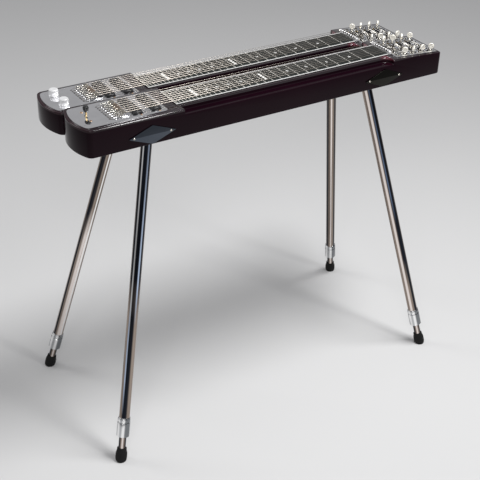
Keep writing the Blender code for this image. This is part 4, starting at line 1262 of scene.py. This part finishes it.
def addLeg(corner):
    leg = legs[corner]
    title = corner.split("_")[0] + corner.split("_")[1].capitalize()
    length = leg["mouth"].z / -leg["lean"].z
    down = leg["lean"]
    place = Matrix.Translation(leg["mouth"]) @ leg["turn"]
    collarLow = -(length - legLook["tipLength"] - legLook["exposed"])
    collarHigh = collarLow + legLook["collarLength"]
    radius = legLook["outer"]
    rings = [
        (radius - 0.0006, collarHigh - 0.004),
        (radius, collarHigh - 0.0034),
        (radius, legLook["intoBody"] - 0.0006),
        (radius - 0.0006, legLook["intoBody"]),
    ]
    outer = turnedFrom(title + "OuterTube", rings, 48)
    bore = rod(title + "Bore", 0.0097, (0, 0, collarHigh - 0.006), (0, 0, legLook["intoBody"] + 0.001), 40)
    combine(outer, bore)
    settle(outer, place)
    finish = tubeFinish(title + "Tube", leg, brown, legPaintedReflections[corner])
    dress(outer, finish, "guitar", [corner + "_outer_tube"])
    radius = legLook["collar"]
    rings = [
        (radius - 0.0028, collarLow),
        (radius - 0.0004, collarLow + 0.0016),
        (radius, collarLow + 0.0030),
        (radius, collarHigh - 0.0120),
        (radius - 0.0012, collarHigh - 0.0110),
        (radius - 0.0012, collarHigh - 0.0098),
        (radius - 0.0002, collarHigh - 0.0088),
        (radius - 0.0004, collarHigh - 0.0030),
        (radius - 0.0022, collarHigh),
    ]
    collar = turnedFrom(title + "Collar", rings, 10)
    roundEdges(collar, 0.0004, 2, 20)
    combine(collar, rod(title + "Bore", 0.0083, (0, 0, collarLow - 0.002), (0, 0, collarHigh + 0.002), 40))
    settle(collar, place)
    dress(collar, tubeFinish(title + "CollarChrome", leg, (0.56, 0.57, 0.58), collarPaintedReflections), "guitar", smoothAngle=25)
    innerLow = -(length - legLook["tipLength"] + 0.002)
    innerHigh = -(length - 0.006) + 0.300
    inner = rod(title + "InnerTube", legLook["inner"], (0, 0, innerLow), (0, 0, innerHigh), 40, 0.0004)
    combine(inner, rod(title + "Bore", 0.0066, (0, 0, innerLow + 0.01), (0, 0, innerHigh + 0.002), 32))
    settle(inner, place)
    dress(inner, tubeFinish(title + "InnerTube", leg, brown, innerPaintedReflections), corner + "_inner_tube", [corner + "_inner_tube"])
    tipHigh = -(length - legLook["tipLength"])
    wide = legLook["tip"]
    rings = [
        (0.0094, tipHigh + 0.0002),
        (0.0102, tipHigh - 0.0006),
        (0.0104, tipHigh - 0.0045),
        (0.0112, tipHigh - 0.0080),
        (0.0121, tipHigh - 0.0115),
        (wide, tipHigh - 0.0160),
        (wide, tipHigh - 0.0215),
        (wide * 0.985, tipHigh - 0.0250),
        (wide * 0.93, tipHigh - 0.0285),
        (wide * 0.80, tipHigh - 0.0320),
        (wide * 0.60, tipHigh - 0.0335),
    ]
    tip = turnedFrom(title + "RubberTip", rings, 40)
    combine(tip, rod(title + "Bore", 0.0079, (0, 0, tipHigh - 0.0030), (0, 0, tipHigh + 0.002), 40))
    settle(tip, place)
    foot = leg["mouth"] + down * length
    floorCut = block(title + "Cut", foot - Vector((0.05, 0.05, 0.05)), foot + Vector((0.05, 0.05, 0.0)))
    combine(tip, floorCut)
    dress(tip, rubber, corner + "_inner_tube", smoothAngle=40)
    # A turned flange closes the hole in the body's underside.
    flange = turnedFrom(title + "SocketFlange", [(0.0190, -0.0001), (0.0190, -0.0010), (0.0178, -0.0018), (0.0150, -0.0020)], 40)
    settle(flange, Matrix.Translation(leg["mouth"]))
    combine(flange, rod(title + "Bore", 0.0113, leg["mouth"] + down * 0.01, leg["mouth"] - down * 0.01, 40))
    dress(flange, nickel, "guitar")


for corner in legs:
    addLeg(corner)
print("legs made")


# Diamond plates: bevelled mirrors on the outer faces above the legs
diamondLook = {"half": 0.0500, "rise": 0.0195, "thickness": 0.0022, "edge": 0.0009, "screws": 0.039}


def addDiamond(name, x, face, facing, middle):
    half, rise = diamondLook["half"], min(diamondLook["rise"], middle - necks[0]["low"].z - 0.0003)
    outline = [(half, 0), (0, rise), (-half, 0), (0, -rise)]
    plate = sheetFrom(name, outline, 0, diamondLook["thickness"])
    bevelEdges(plate, isUpright, 0.0015, 3)
    roundEdges(plate, diamondLook["edge"], 3, 60)
    turn = Vector((0, facing, 0)).to_track_quat("Z", "Y").to_matrix().to_4x4()
    place = Matrix.Translation((x, face, middle)) @ turn
    screws = []
    for offset in (-diamondLook["screws"], diamondLook["screws"]):
        screws.append(screwHead(name + "Screw", (offset, 0, diamondLook["thickness"]), 0.0022, turn=offset * 3000))
    screws = settle(joinAll(screws), place)
    dress(settle(plate, place), paintedReflectionMirror, "guitar", smoothAngle=25)
    dress(screws, warmNickel, "guitar").name = name + "Screws"


for neck in necks:
    face = neck["low"].y if neck["side"] < 0 else neck["high"].y
    clearHigh = neck["top"] - bodyLook["ledgeDepth"] - 0.0005
    middle = min(0.7020, (neck["low"].z + clearHigh) / 2)
    for sign, label in ((-1, "Left"), (1, "Right")):
        addDiamond(neck["label"] + label + "Diamond", sign * 0.2760 - 0.0044, face, neck["side"], middle)
print("diamond plates made")


# Room: a pale floor, a pale world and soft lamps
roomLook = {"floor": (0.62, 0.62, 0.62), "background": (0.46, 0.46, 0.47), "ambient": 0.80}


def addFloor():
    bpy.ops.object.select_all(action="DESELECT")
    bpy.ops.mesh.primitive_plane_add(size=30, location=(0, 0, -0.0002))
    floor = bpy.context.object
    floor.name = "studioFloor"
    finish = Finish("floorPaint", roomLook["floor"], 0.9)
    finish.set("Specular IOR Level", 0.1)
    floor.data.materials.append(finish.material)


def addWorld():
    world = bpy.data.worlds.new("paleRoom")
    bpy.context.scene.world = world
    world.use_nodes = True
    shade = world.node_tree.nodes["Background"]
    shade.inputs["Color"].default_value = (*roomLook["background"], 1)
    shade.inputs["Strength"].default_value = roomLook["ambient"]


def addLamp(name, place, target, size, power):
    light = bpy.data.lights.new(name, "AREA")
    light.shape = "RECTANGLE"
    light.size, light.size_y = size
    light.energy = power
    lamp = bpy.data.objects.new(name, light)
    bpy.context.scene.collection.objects.link(lamp)
    aim = (Vector(target) - Vector(place)).to_track_quat("-Z", "Y").to_matrix().to_4x4()
    lamp.matrix_world = Matrix.Translation(place) @ aim


addFloor()
addWorld()
addLamp("overheadLamp", (0.55, -0.5, 2.5), (0.0, -0.1, 0.7), (0.86, 0.36), 45)
addLamp("cameraLamp", (-1.5, -2.1, 2.3), (0, 0, 0.7), (1.0, 0.7), 18)
addLamp("sideLamp", (0.9, -2.1, 2.1), (-0.3, -0.1, 0.74), (0.35, 1.2), 14)
addLamp("backLamp", (-1.5, 1.7, 2.2), (0, 0, 0.7), (0.8, 0.8), 10)

# Camera: fitted to the frets, the feet and the body corners of the photograph
view = {"place": (-1.12386, -1.73464, 1.60542), "yaw": 32.826, "pitch": -31.878, "roll": 1.672, "lens": 80.862}
lens = bpy.data.cameras.new("photoCamera")
lens.sensor_width = 36
lens.lens = view["lens"]
camera = bpy.data.objects.new("photoCamera", lens)
bpy.context.scene.collection.objects.link(camera)
aim = Euler((math.radians(90 + view["pitch"]), 0, math.radians(-view["yaw"]))).to_matrix()
aim = aim @ Matrix.Rotation(math.radians(view["roll"]), 3, "Z")
camera.matrix_world = Matrix.Translation(view["place"]) @ aim.to_4x4()
bpy.context.scene.camera = camera
bpy.context.scene.view_settings.view_transform = "Standard"

print("room and camera made")
